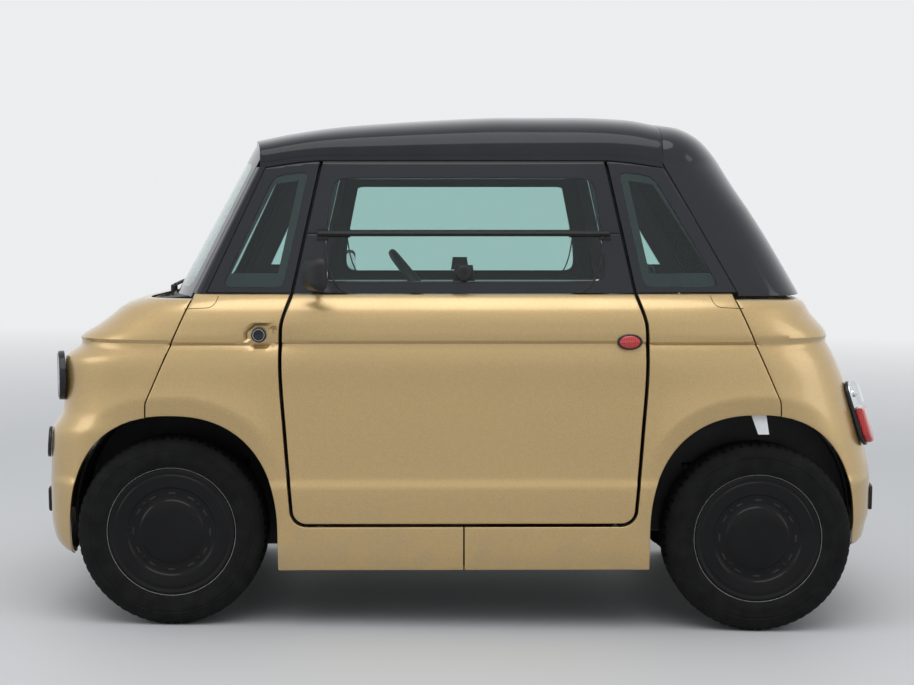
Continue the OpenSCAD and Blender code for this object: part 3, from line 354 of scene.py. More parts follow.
def inward(loop):
    """Unit direction into the loop at each of its points."""
    before, after = loop - np.roll(loop, 1, 0), np.roll(loop, -1, 0) - loop
    area = (loop[:, 0] * np.roll(loop[:, 1], -1) - loop[:, 1] * np.roll(loop[:, 0], -1)).sum()
    turn = []
    for d in (before, after):
        d = d / np.maximum(np.linalg.norm(d, axis=1), 1e-9)[:, None]
        turn.append(np.stack([-d[:, 1], d[:, 0]], 1) * (1 if area > 0 else -1))
    both = turn[0] + turn[1]
    size = np.linalg.norm(both, axis=1)[:, None]
    both = both / np.maximum(size, 1e-9)
    return both / np.maximum((both * turn[0]).sum(1), 0.5)[:, None]


def within(points, loop):
    x, y = points[:, 0][:, None], points[:, 1][:, None]
    a, b = loop, np.roll(loop, -1, 0)
    crosses = (a[:, 1] > y) != (b[:, 1] > y)
    with np.errstate(divide="ignore", invalid="ignore"):
        at = (b[:, 0] - a[:, 0]) * (y - a[:, 1]) / (b[:, 1] - a[:, 1]) + a[:, 0]
    return (crosses & (x < at)).sum(1) % 2 == 1


def panel(outline, skin, back, edge=2.5, pitch=12.0):
    """Closed panel over an outline in a skin's own two measures, with rounded edges; back(p) is its
    inner face. Gives the part and each point's place in those measures."""
    loop = spaced(np.array(outline, float), pitch * 0.6)
    into = inward(loop)
    n = len(loop)
    places, points = [], []
    for turn in np.radians([0, 22.5, 45, 67.5, 90]):
        p = loop + into * edge * (1 - math.sin(turn))
        places.append(p)
        points.append(skin(p) - normals(skin, p) * edge * (1 - math.cos(turn)))
    faces = [f for k in range(4) for f in loop_faces(k * n, (k + 1) * n, n)]
    low, high = loop.min(0), loop.max(0)
    gx, gy = np.meshgrid(np.arange(low[0], high[0], pitch), np.arange(low[1], high[1], pitch * 0.8))
    grid = np.stack([gx.ravel(), gy.ravel()], 1)
    grid = grid[within(grid, places[0])]
    far = np.sqrt(((grid[:, None] - places[0][None]) ** 2).sum(2).min(1)) > pitch * 0.45
    grid = grid[far]
    flat = [Vector(p) for p in np.concatenate([places[0], grid])]
    _, _, cells, origin, _, _ = delaunay_2d_cdt(flat, [], [list(range(n))], 1, 1e-4)
    index = [o[0] if o else None for o in origin]
    cells = [tuple(index[k] for k in c) for c in cells]
    cells = [c for c in cells if None not in c and len(set(c)) == 3]
    front = [tuple(k if k < n else k + 4 * n for k in c) for c in cells]
    at = 5 * n + len(grid)
    behind = [tuple(reversed([k + at for k in c])) for c in cells]
    faces += front + behind + loop_faces(4 * n, at, n)
    inner = np.concatenate([loop, grid])
    places = np.concatenate([*places, grid, inner])
    return (np.concatenate([*points, skin(grid), back(inner)]), faces), places


def revolved(profile, turns=96):
    """Closed ring of (radius, height) points about Z; a radius of 0 makes a pole."""
    p = np.array(profile, float)
    angle = np.arange(turns) * 2 * math.pi / turns
    v = np.stack([np.outer(np.cos(angle), p[:, 0]), np.outer(np.sin(angle), p[:, 0]),
                  np.outer(np.ones(turns), p[:, 1])], 2).reshape(-1, 3)
    m, faces = len(p), []
    for i in range(turns):
        j = (i + 1) % turns
        faces += [(i * m + k, j * m + k, j * m + k + 1, i * m + k + 1) for k in range(m - 1)]
    return v, faces


def rounded(profile, radius, steps=4):
    """Profile line whose inner corners are rounded off."""
    p = [np.array(q, float) for q in profile]
    out = [p[0]]
    for a, b, c in zip(p, p[1:], p[2:]):
        u, v = a - b, c - b
        r = min(radius, np.linalg.norm(u) / 2.2, np.linalg.norm(v) / 2.2)
        s, e = b + u / np.linalg.norm(u) * r, b + v / np.linalg.norm(v) * r
        out += [mix(mix(s, b, t), mix(b, e, t), t) for t in np.linspace(0, 1, steps + 1)]
    return out + [p[-1]]


def tube(path, radius, sides=12, closed=False):
    """Round bar along points, with flat ends, or a closed ring."""
    path = np.array(path, float)
    n = len(path)
    ahead = np.roll(path, -1, 0) - np.roll(path, 1, 0) if closed else np.gradient(path, axis=0)
    ahead /= np.linalg.norm(ahead, axis=1)[:, None]
    up = np.array([0, 0, 1.0]) if abs(ahead[0][2]) < 0.9 else np.array([1.0, 0, 0])
    points = []
    for t, p in zip(ahead, path):
        side = np.cross(t, up)
        side /= np.linalg.norm(side)
        up = np.cross(side, t)
        for k in range(sides):
            a = 2 * math.pi * k / sides
            points.append(p + radius * (math.cos(a) * side + math.sin(a) * up))
    faces = []
    for i in range(n if closed else n - 1):
        faces += loop_faces(i * sides, (i + 1) % n * sides, sides)
    if not closed:
        faces += [tuple(reversed(range(sides))), tuple(range((n - 1) * sides, n * sides))]
    return np.array(points), faces


def lofted(rings):
    """Closed rings of equally many points joined in order, with both ends filled."""
    n = len(rings[0])
    faces = [f for k in range(len(rings) - 1) for f in loop_faces(k * n, (k + 1) * n, n)]
    last = (len(rings) - 1) * n
    return np.concatenate(rings), faces + [tuple(reversed(range(n))), tuple(range(last, last + n))]


def bezier(a, b, c, steps=8):
    return [mix(mix(a, b, t), mix(b, c, t), t) for t in np.linspace(0, 1, steps + 1)]


def boxed(low, high, radius=3.0, steps=3):
    """Box with rounded edges between two corners."""
    bm = bmesh.new()
    bmesh.ops.create_cube(bm, size=1)
    low, high = np.array(low, float), np.array(high, float)
    for v in bm.verts:
        v.co = Vector((low + high) / 2 + np.array(v.co) * (high - low))
    radius = min(radius, (high - low).min() * 0.49)
    bmesh.ops.bevel(bm, geom=bm.edges[:], offset=radius, segments=steps, profile=0.5, affect="EDGES")
    bm.verts.index_update()
    part = np.array([v.co[:] for v in bm.verts]), [tuple(v.index for v in f.verts) for f in bm.faces]
    bm.free()
    return part


def slab(outline, low, high, radius=3.0, plane="xz"):
    """Outline drawn out across the car between two distances, with rounded rims."""
    loop = np.array(outline, float)
    into = inward(loop)
    n, rings = len(loop), []
    for t in (0, 45, 90):
        i, d = radius * (1 - math.sin(math.radians(t))), radius * (1 - math.cos(math.radians(t)))
        rings.append((loop + into * i, low + d))
    rings += [(p, low + high - y) for p, y in reversed(rings)]
    points = np.concatenate([np.stack([p[:, 0], np.full(n, y), p[:, 1]], 1) for p, y in rings])
    if plane == "xy":
        points = points[:, [0, 2, 1]]
    faces = [f for k in range(5) for f in loop_faces(k * n, (k + 1) * n, n)]
    return points, faces + [tuple(reversed(range(n))), tuple(range(5 * n, 6 * n))]


def disc_outline(radius, stretch=0.0, turns=48):
    """Circle, or a capsule stretched along its first axis."""
    a = np.arange(turns) * 2 * math.pi / turns
    return np.stack([np.cos(a) * radius + np.sign(np.cos(a)) * stretch, np.sin(a) * radius], 1)


def on_skin(skin, place, lift=0.0):
    """Frame with its Z axis square to a skin, and X level or along the car."""
    p = np.array([place], float)
    n = Vector(normals(skin, p)[0])
    side = Vector((0, 0, 1)).cross(n).normalized()
    up = n.cross(side)
    at = Vector(skin(p)[0]) + n * lift
    return Matrix.Translation(at) @ Matrix([[side[i], up[i], n[i], 0] for i in range(3)] + [[0, 0, 0, 1]])


# ---- Finishes ----
def blank(name):
    material = bpy.data.materials.new(name)
    material.use_nodes = True
    tree = material.node_tree
    tree.nodes.clear()
    return material, tree, tree.nodes.new("ShaderNodeOutputMaterial").inputs["Surface"]


def node(tree, kind, inputs=None, **settings):
    n = tree.nodes.new("ShaderNode" + kind)
    for key, value in settings.items():
        setattr(n, key, value)
    for key, value in (inputs or {}).items():
        if isinstance(value, bpy.types.NodeSocket):
            tree.links.new(value, n.inputs[key])
        else:
            n.inputs[key].default_value = value
    return n


def noise(tree, where, scale, detail=3.0):
    return node(tree, "TexNoise", {"Vector": where, "Scale": scale, "Detail": detail}).outputs["Fac"]


def blend(tree, share, a, b):
    a, b = (c if isinstance(c, bpy.types.NodeSocket) else (*c, 1) for c in (a, b))
    return node(tree, "Mix", {0: share, 6: a, 7: b}, data_type="RGBA").outputs[2]


def remap(tree, value, low, high, to_low=0.0, to_high=1.0):
    return node(tree, "MapRange", {"Value": value, "From Min": low, "From Max": high, "To Min": to_low,
                                   "To Max": to_high}).outputs["Result"]


def bumped(tree, height, strength, distance=0.001):
    return node(tree, "Bump", {"Height": height, "Strength": strength,
                               "Distance": distance}).outputs["Normal"]


def principled(tree, out, base, roughness, normal=None, **sockets):
    """Joins a principled shader to the material's output."""
    settings = {"Base Color": base, "Roughness": roughness, **sockets}
    if normal is not None:
        settings["Normal"] = normal
    tree.links.new(node(tree, "BsdfPrincipled", settings).outputs[0], out)


def surface(name, low, high, roughness, cloud=30.0, grain=900.0, relief=0.15, spread=0.07, **sockets):
    """Moulded or coated surface: two close colours in clouds, uneven gloss and a fine grain."""
    material, tree, out = blank(name)
    where = node(tree, "TexCoord").outputs["Object"]
    clouds = noise(tree, where, cloud, 5.0)
    fine = noise(tree, where, grain, 2.0)
    colour = blend(tree, remap(tree, clouds, 0.35, 0.65), low, high)
    gloss = remap(tree, clouds, 0.3, 0.7, roughness - spread, roughness + spread)
    principled(tree, out, colour, gloss, bumped(tree, fine, relief), **sockets)
    return material


def gold_paint():
    """Champagne metallic: fine flakes, a soft clear coat with faint orange peel, and dust near the sills."""
    material, tree, out = blank("champagne_gold")
    where = node(tree, "TexCoord").outputs["Object"]
    flakes = node(tree, "TexVoronoi", {"Vector": where, "Scale": 1500.0}).outputs["Color"]
    speck = node(tree, "SeparateColor", {"Color": flakes}).outputs["Red"]
    gold = blend(tree, speck, (0.43, 0.28, 0.105), (0.61, 0.445, 0.215))
    height = node(tree, "SeparateXYZ", {"Vector": where}).outputs["Z"]
    low_down = remap(tree, height, 0.42, 0.15)
    patches = remap(tree, noise(tree, where, 14.0), 0.4, 0.7)
    dust = node(tree, "Math", {0: low_down, 1: patches}, operation="MULTIPLY").outputs[0]
    dusty = node(tree, "Math", {0: dust, 1: 0.35}, operation="MULTIPLY").outputs[0]
    colour = blend(tree, dusty, gold, (0.36, 0.29, 0.19))
    gloss = remap(tree, noise(tree, where, 5.0), 0.3, 0.7, 0.33, 0.41)
    peel = bumped(tree, noise(tree, where, 260.0, 2.0), 0.035)
    coat = {"Metallic": 0.72, "Coat Weight": 0.9, "Coat Roughness": 0.12}
    principled(tree, out, colour, gloss, peel, **coat)
    return material


def tinted_glass(name, tint, frit=True):
    """Thin pane, black where it is printed; its attribute clear_mm is the distance inside the clear area."""
    material, tree, out = blank(name)
    where = node(tree, "TexCoord").outputs["Object"]
    smear = remap(tree, noise(tree, where, 9.0, 5.0), 0.3, 0.7, 0.0, 0.02)
    mirror = node(tree, "BsdfGlossy", {"Color": (1, 1, 1, 1), "Roughness": smear}).outputs[0]
    pane = node(tree, "BsdfTransparent", {"Color": (*tint, 1)}).outputs[0]
    behind = node(tree, "NewGeometry").outputs["Backfacing"]
    gloss = node(tree, "Fresnel", {"IOR": remap(tree, behind, 0, 1, 1.35, 1 / 1.35)}).outputs[0]
    clear = node(tree, "MixShader", {0: gloss, 1: pane, 2: mirror}).outputs[0]
    if frit:
        dots = remap(tree, noise(tree, where, 3.0), 0.3, 0.7)
        print_colour = blend(tree, dots, (0.008, 0.010, 0.014), (0.013, 0.015, 0.021))
        black = node(tree, "BsdfPrincipled",
                     {"Base Color": print_colour, "Roughness": 0.1, "IOR": 1.45}).outputs[0]
        inside = node(tree, "Attribute", attribute_name="clear_mm").outputs["Fac"]
        share = remap(tree, inside, -1.0, 1.0)
        clear = node(tree, "MixShader", {0: share, 1: black, 2: clear}).outputs[0]
    tree.links.new(clear, out)
    return material


def woven():
    """Dark upholstery: threads over and under, a little lint and sheen."""
    material, tree, out = blank("seat_cloth")
    where = node(tree, "TexCoord").outputs["Object"]
    wave = {"Vector": where, "Scale": 95.0, "Distortion": 0.8, "Detail": 1.0}
    threads = [node(tree, "TexWave", wave, bands_direction=d).outputs["Fac"] for d in ("Y", "Z")]
    weave = node(tree, "Math", {0: threads[0], 1: threads[1]}, operation="MULTIPLY").outputs[0]
    lint = noise(tree, where, 60.0, 6.0)
    cloth = blend(tree, remap(tree, lint, 0.35, 0.7), (0.022, 0.022, 0.025), (0.06, 0.06, 0.066))
    colour = blend(tree, remap(tree, weave, 0.0, 0.6), (0.012, 0.012, 0.014), cloth)
    sheen = {"Sheen Weight": 0.35, "Sheen Roughness": 0.5}
    principled(tree, out, colour, 0.9, bumped(tree, weave, 0.5), **sheen)
    return material


def ribbed_lens(name, colour):
    """Moulded lens with fine prism ribs under a polished face; the ribs' light and dark bands are painted
    shade in its colour.
    """
    material, tree, out = blank(name)
    where = node(tree, "TexCoord").outputs["Object"]
    ribs = node(tree, "TexWave", {"Vector": where, "Scale": 60.0}, bands_direction="X").outputs["Fac"]
    # painted shade: the red darkens to 45 % in bands across the ribs, standing in for light through the
    # prisms; the plastic itself is one red
    painted_rib_shade = blend(tree, ribs, tuple(c * 0.45 for c in colour), colour)
    coat = {"Coat Weight": 0.9, "Coat Roughness": 0.03}
    principled(tree, out, painted_rib_shade, 0.22, bumped(tree, ribs, 0.4), **coat)
    return material


PAINT = gold_paint()
GLOSS = surface("gloss_black", (0.010, 0.011, 0.014), (0.016, 0.017, 0.022), 0.12, cloud=4.0, grain=220.0,
                relief=0.02, spread=0.04, **{"Specular IOR Level": 0.3, "Coat Weight": 0.05,
                                             "Coat Roughness": 0.03})
MATT = surface("black_plastic", (0.007, 0.007, 0.008), (0.014, 0.014, 0.015), 0.5, grain=1100.0,
               relief=0.35, **{"Specular IOR Level": 0.35})
RUBBER = surface("seal_rubber", (0.010, 0.010, 0.010), (0.018, 0.018, 0.018), 0.7, relief=0.2)
TYRE = surface("tyre_rubber", (0.005, 0.005, 0.0052), (0.011, 0.0112, 0.0115), 0.78, cloud=22.0,
               grain=700.0, relief=0.4, **{"Specular IOR Level": 0.12})
COVER = surface("wheel_black", (0.003, 0.003, 0.0035), (0.005, 0.005, 0.0055), 0.16, cloud=9.0, relief=0.03,
                spread=0.05, **{"Specular IOR Level": 0.2})
FRAME_BLACK = surface("frame_coating", (0.009, 0.009, 0.010), (0.018, 0.018, 0.019), 0.5, relief=0.2)
STEEL = surface("coated_steel", (0.05, 0.05, 0.054), (0.085, 0.085, 0.09), 0.45, relief=0.2, Metallic=0.5)
BARE = surface("bare_steel", (0.42, 0.42, 0.43), (0.58, 0.58, 0.58), 0.32, relief=0.15, Metallic=1.0)
CAST = surface("cast_housing", (0.36, 0.37, 0.38), (0.5, 0.5, 0.51), 0.5, cloud=60.0, relief=0.6,
               Metallic=0.85)
CHROME = surface("lamp_reflector", (0.72, 0.74, 0.76), (0.84, 0.85, 0.87), 0.14, relief=0.05, spread=0.04,
                 Metallic=1.0)
RED = ribbed_lens("red_lens", (0.62, 0.012, 0.010))
CLEAR = tinted_glass("clear_lens", (0.93, 0.95, 0.96), frit=False)
PANE = tinted_glass("window_glass", (0.77, 0.875, 0.86))
CLOTH = woven()
WHITE = surface("white_tag", (0.7, 0.72, 0.74), (0.8, 0.81, 0.82), 0.5, relief=0.1)


def make(name, parts, finish, body, replaces=(), at=BODY, sharp=32, clear=None):
    """One piece from parts in millimetres; with a list of finishes, each part is (part, which finish)."""
    finishes = finish if isinstance(finish, list) else [finish]
    pairs = [p if isinstance(p[1], int) else (p, 0) for p in parts]
    points, faces = joined([p for p, _ in pairs])
    points, _ = moved((points, None), at)
    mesh = bpy.data.meshes.new(name)
    mesh.from_pydata(points.tolist(), [], faces)
    mesh.polygons.foreach_set("material_index", [k for p, k in pairs for _ in p[1]])
    for material in finishes:
        mesh.materials.append(material)
    if clear is not None:
        inside = mesh.attributes.new("clear_mm", "FLOAT", "POINT")
        inside.data.foreach_set("value", clear.astype(np.float32))
    bm = bmesh.new()
    bm.from_mesh(mesh)
    bmesh.ops.recalc_face_normals(bm, faces=bm.faces[:])
    bm.to_mesh(mesh)
    bm.free()
    mesh.shade_smooth()
    mesh.set_sharp_from_angle(angle=math.radians(sharp))
    piece = bpy.data.objects.new(name, mesh)
    bpy.context.scene.collection.objects.link(piece)
    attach(piece, body)
    if replaces:
        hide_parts(*replaces)
    return piece


SIDES = {"left": 1, "right": -1}


def on_side(side, part):
    return part if side == "left" else mirrored(part)


# ---- Painted panels ----
def inward_y(skin, depth):
    def back(p):
        q = skin(p)
        q[:, 1] -= depth * np.sign(q[:, 1])
        return q
    return back


def end_edge_s(sign, arc, z):
    """Length round the end at which it meets the wing or the arch."""
    below = np.maximum(ARCH_X + arch_half(z), SEAM_FOOT_X)
    x = np.where(z >= SEAM_FOOT_Z, split_x(z) + SEAM / 2, below)
    share = np.minimum(x / end_l(sign, z), 1)
    return np.interp(np.arccos(share ** (arc.n / 2)), arc.angle, arc.length)


def end_panel(sign, arc, skin, low, high):
    z = np.unique(np.concatenate([np.linspace(low, high, 70), [SEAM_FOOT_Z - 0.1, SEAM_FOOT_Z]]))
    s = end_edge_s(sign, arc, z)
    right = np.stack([s, z], 1)
    outline = np.concatenate([right, np.stack([-s, z], 1)[::-1]])

    def back(p):
        q, n = skin(p), normals(skin, p)
        n[:, 2] = 0
        n /= np.linalg.norm(n, axis=1)[:, None]
        near = ramp(end_edge_s(sign, arc, p[:, 1]) - np.abs(p[:, 0]), 0, 60)[:, None]
        square = np.sign(q[:, 1])[:, None] * np.array([0, 1, 0])
        return q - PANEL_T * mix(square, n, near)

    return panel(outline, skin, back, edge=2.2, pitch=14)[0]


make("nose_panel", [end_panel(1, nose_arc, nose_skin, SILL_Z + 29, BELT_Z - 14)], PAINT, "body",
     ["nose"])
make("tail_panel", [end_panel(-1, tail_arc, tail_skin, SILL_Z + 41, BELT_Z - 18)], PAINT, "body",
     ["tail"])


def wing_outline():
    turn = np.radians(np.linspace(0, 90, 50))
    arch = [(ARCH_X - ARCH_A * math.cos(t) ** (2 / ARCH_N), ARCH_Z + ARCH_B * math.sin(t) ** (2 / ARCH_N))
            for t in turn]
    past = [(x, ARCH_Z + arch_height(x)) for x in np.linspace(ARCH_X + 8, ARCH_X + 71, 8)]
    rise = [(split_x(z) - SEAM / 2, z) for z in np.linspace(ARCH_Z + 354, BELT_Z, 30)]
    low = DOOR_BOTTOM - DOOR_GAP / 2
    fall_line = [(float(door_line(z, DOOR_GAP / 2)), z)
                 for z in np.linspace(BELT_Z, DOOR_BOTTOM + DOOR_R, 60)]
    centre, r = (DOOR_X - 29 - DOOR_R, DOOR_BOTTOM + DOOR_R), DOOR_R + DOOR_GAP / 2
    corner = [(centre[0] + r * math.cos(t), centre[1] - r * math.sin(t))
              for t in np.linspace(0.1, math.pi / 2, 12)]
    return [(SEAM / 2, SILL_Z), (ARCH_X - ARCH_A, SILL_Z), *arch, *past, *rise, *fall_line, *corner,
            (SEAM / 2, low)]


def arch_height(x):
    return ARCH_B * (1 - (abs(x - ARCH_X) / ARCH_A) ** ARCH_N) ** (1 / ARCH_N)


WING = np.array(wing_outline())


def wing(outline, skin):
    return panel(outline, skin, inward_y(skin, PANEL_T), edge=2.2)[0]


# The two wings at the doors' free edges carry the lock recess
locked = wing(WING, scooped_skin)
for name, part in (("front_left", locked), ("front_right", mirrored(wing(WING, side_skin))),
                   ("rear_left", wing(WING * np.array([-1, 1]), side_skin)),
                   ("rear_right", turned(locked))):
    make(f"wing_{name}", [part], PAINT, "body", [f"quarter_{name}"])


def corner_cap_seam(sign):
    """Fine joint line of the corner cap at the top of a wing."""
    far, near = (713, 809) if sign > 0 else (718, 812)  # its two ends along the car
    path = bezier(np.array([far, BELT_Z - 5]), np.array([far + 4, BELT_Z - 38]),
                  np.array([far + 34, BELT_Z - 39]))
    path += [np.array([mix(far + 34, near, t), BELT_Z - 39 - 3 * t]) for t in (0.33, 0.66, 1.0)]
    places = np.array(path) * np.array([sign, 1])
    return tube(side_skin(places) + np.array([0, 0.1, 0]), 0.9, 6)


seams = [corner_cap_seam(sign) for sign in (1, -1)]
make("corner_cap_seams", seams + [mirrored(p) for p in seams], RUBBER, "body")
tag_y = float(side_y(np.array([-862.0]), np.array([ARCH_TOP + 4]))[0]) - PANEL_T - 1.6
tag = slab([(-838, ARCH_TOP + 8), (-884, ARCH_TOP + 8), (-894, ARCH_TOP - 58), (-862, ARCH_TOP - 58)],
           tag_y, tag_y + 1.8, 0.5)
make("arch_tag", [tag], WHITE, "body")


def door_outline(off=-DOOR_GAP / 2):
    low = DOOR_BOTTOM - off
    centre, r = (DOOR_X - 29 - DOOR_R, DOOR_BOTTOM + DOOR_R), DOOR_R + off
    corner = [(centre[0] + r * math.sin(t), centre[1] - r * math.cos(t))
              for t in np.linspace(0, math.pi / 2, 14)]
    side = [(float(door_line(z, off)), z) for z in np.linspace(DOOR_BOTTOM + DOOR_R + 6, BELT_Z, 60)]
    half = [(0.0, low), *corner, *side]
    return np.array(half + [(-x, z) for x, z in reversed(half)][:-1])


DOOR_LOW_Y, DOOR_HIGH_Y = HALF_W - 29 - DOOR_T, float(cab_y(0, BELT_Z)) - 46


def door_back(p):
    y = mix(DOOR_LOW_Y, DOOR_HIGH_Y, (p[:, 1] - DOOR_BOTTOM) / (BELT_Z - DOOR_BOTTOM))
    return np.stack([p[:, 0], y, p[:, 1]], 1)


door_shell = panel(door_outline(), scooped_skin, door_back, edge=3.0)[0]
DOOR_TURN = {"left": lambda part: part, "right": turned}
for side in SIDES:
    make(f"door_skin_{side}", [DOOR_TURN[side](door_shell)], PAINT, f"door_{side}",
         [f"door_{side}"])

# ---- Roof, glass and trims ----
roof_s = roof_arc.length[-1] - 1.0
ROOF_OUTLINE = [(ROOF_END, -roof_s), (ROOF_FRONT, -roof_s), (ROOF_FRONT, roof_s), (ROOF_END, roof_s)]


def roof_back(p):
    return roof_skin(p) - np.array([0, 0, ROOF_T])


make("roof_shell", [panel(ROOF_OUTLINE, roof_skin, roof_back, edge=2.5, pitch=15)[0]], GLOSS, "body",
     ["roof"])


def soft_least(values, k=14.0):
    """Least of several distances, with rounded corners."""
    v = np.stack(values)
    return -k * np.log(np.exp(-v / k).sum(0))


def depth(skin, t):
    return lambda p: skin(p) - normals(skin, p) * t


def pane_piece(name, outline, skin, mask, body, replaces, pitch=10.0, turn=lambda p: p):
    """Pane with a printed border; mask(points, places) is the distance inside its clear area."""
    part, places = panel(outline, skin, depth(skin, GLASS_T), edge=1.0, pitch=pitch)
    make(name, [turn(part)], PANE, body, replaces, clear=mask(part[0], places))


cap_s = cap_arc.length[-1] - 1.0
CAP_OUTLINE = [(-cap_s, CAP_LOW), (cap_s, CAP_LOW), (cap_s, CAP_HIGH), (-cap_s, CAP_HIGH)]


def rear_mask(q, p):
    y, z = np.abs(q[:, 1]), q[:, 2]
    return soft_least([445 - 0.16 * (z - BELT_Z) - y, z - BELT_Z - 55, BELT_Z + 385 - z, -q[:, 0] - 640],
                      16)


pane_piece("rear_cap", CAP_OUTLINE, cap_skin, rear_mask, "body",
           ["rear_screen", "rear_surround"], 14)


def roof_z(x, y):
    c = cant_line(x)
    return c + (crown_z(x) - c) * fall(np.minimum(np.abs(y) / cab_y(x, c), 1), ROOF_N)


def corner_y(z):
    y = 580.0
    for _ in range(8):
        y = cab_y(screen_x(y, z), z)
    return y


SCREEN_LOW, SCREEN_MARGIN = BELT_Z - 22, 38


def screen_top(y):
    return roof_z(ROOF_FRONT - 0.5 * SCREEN_BOW * y * y, y) - ROOF_T - 2


screen_edge = float(screen_top(corner_y(CANT_Z) - SCREEN_MARGIN))
screen_side = [(corner_y(z) - SCREEN_MARGIN, z) for z in np.linspace(SCREEN_LOW, screen_edge, 30)]
brow_end = screen_side[-1][0]
screen_brow = [(y, float(screen_top(y))) for y in np.linspace(brow_end, -brow_end, 60)[1:-1]]
SCREEN = screen_side + screen_brow + [(-y, z) for y, z in reversed(screen_side)]


def screen_mask(q, p):
    y, z = p[:, 0], p[:, 1]
    side = corner_y(z) - SCREEN_MARGIN - 62 - np.abs(y)
    return soft_least([side, z - SCREEN_LOW - 38, screen_top(y) - 52 - z], 16)


pane_piece("windscreen_glass", SCREEN, screen_skin, screen_mask, "body", ["windscreen"], 14)


def pane_end(sign, z):
    at = (z - BELT_Z) / (CANT_Z - 16 - BELT_Z)
    return mix(FRONT_GLASS_X if sign > 0 else REAR_GLASS_X, GLASS_TOP_X, at)


PANE_LOW, PANE_HIGH = BELT_Z + 3, CANT_Z - 11


def pane_top(x):
    return PANE_HIGH - (cant_line(0.0) - cant_line(x))


def quarter_pane(sign):
    top_in = float(door_line(PANE_HIGH, DOOR_GAP / 2))
    top_out = pane_end(sign, PANE_HIGH)
    gap_side = [(float(door_line(z, DOOR_GAP / 2)), z) for z in np.linspace(PANE_HIGH, PANE_LOW, 24)[1:]]
    end_side = [(pane_end(sign, z), z) for z in np.linspace(PANE_LOW, float(pane_top(top_out)), 24)]
    top = [(x, float(pane_top(x))) for x in np.linspace(top_out, top_in, 8)[1:]]
    outline = np.array(gap_side + end_side + top) * np.array([sign, 1])

    def mask(q, p):
        x, z = np.abs(p[:, 0]), p[:, 1]
        lean = 1.06 if sign > 0 else 1.15
        return soft_least([x - door_line(z, DOOR_GAP / 2) - 26, (pane_end(sign, z) - x) / lean - 34,
                           z - PANE_LOW - 16, pane_top(x) - z - 26], 9)

    return outline, mask


for sign, place in ((1, "front"), (-1, "rear")):
    outline, mask = quarter_pane(sign)
    for side in SIDES:
        pane_piece(f"{place}_quarter_glass_{side}", outline, cab_skin, mask, "body",
                   ["quarter_glass"], 9, lambda part, side=side: on_side(side, part))

FLAP_Z, DOOR_HIGH = BELT_Z + 173, CANT_Z - 13
CLEAR_LOW, CLEAR_HIGH = BELT_Z + 34, DOOR_HIGH - 45


def door_mask(q, p):
    x, z = p[:, 0], p[:, 1]
    half = mix(418, 386, (z - CLEAR_LOW) / (CLEAR_HIGH - CLEAR_LOW))
    return soft_least([half - np.abs(x), z - CLEAR_LOW, CLEAR_HIGH - z], 17)


def door_pane(low, high):
    right = [(float(door_line(z, -DOOR_GAP / 2)), z) for z in np.linspace(low, high, 20)]
    return right + [(-x, z) for x, z in reversed(right)]


for side in SIDES:
    for name, low, high, old in (("flap", BELT_Z + 2, FLAP_Z, [f"door_{side}_glass"]),
                                 ("fixed", FLAP_Z + 4, DOOR_HIGH, [])):
        pane_piece(f"door_{name}_glass_{side}", door_pane(low, high), cab_skin, door_mask, f"door_{side}",
                   old, 10, DOOR_TURN[side])


def trim_ring(z):
    """Section of the trim that wraps from the side pane to the windscreen's edge."""
    y = corner_y(z)
    x = screen_x(y, z)
    row = np.array([z])
    start = cab_skin(np.array([[pane_end(1, z) + SEAM, z]]))[0]
    end = screen_skin(np.array([[y - SCREEN_MARGIN + 4, z]]))[0]
    corner = np.array([x - 1, float(cab_y(x - 1, row)[0]) - 1, z])
    out = bezier(mix(corner, start, 0.45), corner, mix(corner, end, 0.45))
    outer = [start, *out, end]
    inner = [p - np.array([5, 4, 0]) * mix(0.3, 1.0, min(k, 10 - k) / 5) for k, p in enumerate(outer)]
    return np.array(outer + inner[::-1])


trim_rows = np.linspace(BELT_Z + 1, CANT_Z - 26, 26)
pillar = lofted([trim_ring(z) for z in trim_rows])
make("pillar_covers", [pillar, mirrored(pillar)], GLOSS, "body", ["pillar_trims"], sharp=50)


def cowl_front(y):
    return end_l(1, BELT_Z - 14) * fall(np.abs(y) / (HALF_W - 47), NOSE_N) - PANEL_T - 6


def cowl_ring(y):
    """Section of the scuttle panel with a sunk grille between its edges."""
    front, rear = float(cowl_front(y)), float(screen_x(y, BELT_Z - 8)) + 5
    share = np.linspace(0, 1, 61)
    x = mix(front, rear, share)
    z = mix(BELT_Z - 17.0, BELT_Z - 8.0, share) - 4 * ramp(0.04 - share, 0, 0.04)
    sunk = ramp(share, 0.2, 0.24) * ramp(0.86 - share, 0, 0.04) * ramp(470 - abs(y), 0, 14)
    z = z - sunk * (5.5 + 3.5 * np.cos(share * 2 * math.pi * 14))
    low = float(screen_x(y, SCREEN_LOW)) + 4
    return np.array([[a, y, b] for a, b in zip(x, z)] + [[low, y, SCREEN_LOW], [front, y, SCREEN_LOW]])


def wiper():
    """Spindle, tapered arm and blade lying along the foot of the windscreen."""
    def on_screen(y, z, lift):
        return np.array([float(screen_x(y, z)) + lift, y, z])
    spindle = moved(revolved([(0, -24), (11, -24), (11, 2), (8, 6), (0, 7)], 24),
                    Matrix.Translation(on_screen(80, BELT_Z + 3, 26)))
    arm = tube([on_screen(80, BELT_Z + 8, 26), on_screen(-60, BELT_Z + 16, 24),
                on_screen(-250, BELT_Z + 30, 20)], 5.5)
    ys = np.linspace(20, -430, 16)
    blade = tube([on_screen(y, BELT_Z + 14 + (20 - y) * 0.055, 8) for y in ys], 4)
    lip = tube([on_screen(y, BELT_Z + 10 + (20 - y) * 0.055, 4) for y in ys], 2, 6)
    clasp = boxed(on_screen(-225, BELT_Z + 22, 4), on_screen(-262, BELT_Z + 36, 24), 3)
    return [spindle, arm, blade, lip, clasp]


make("cowl_panel", [lofted([cowl_ring(y) for y in np.linspace(-565, 565, 61)]), *wiper()], MATT, "body",
     ["cowl"])

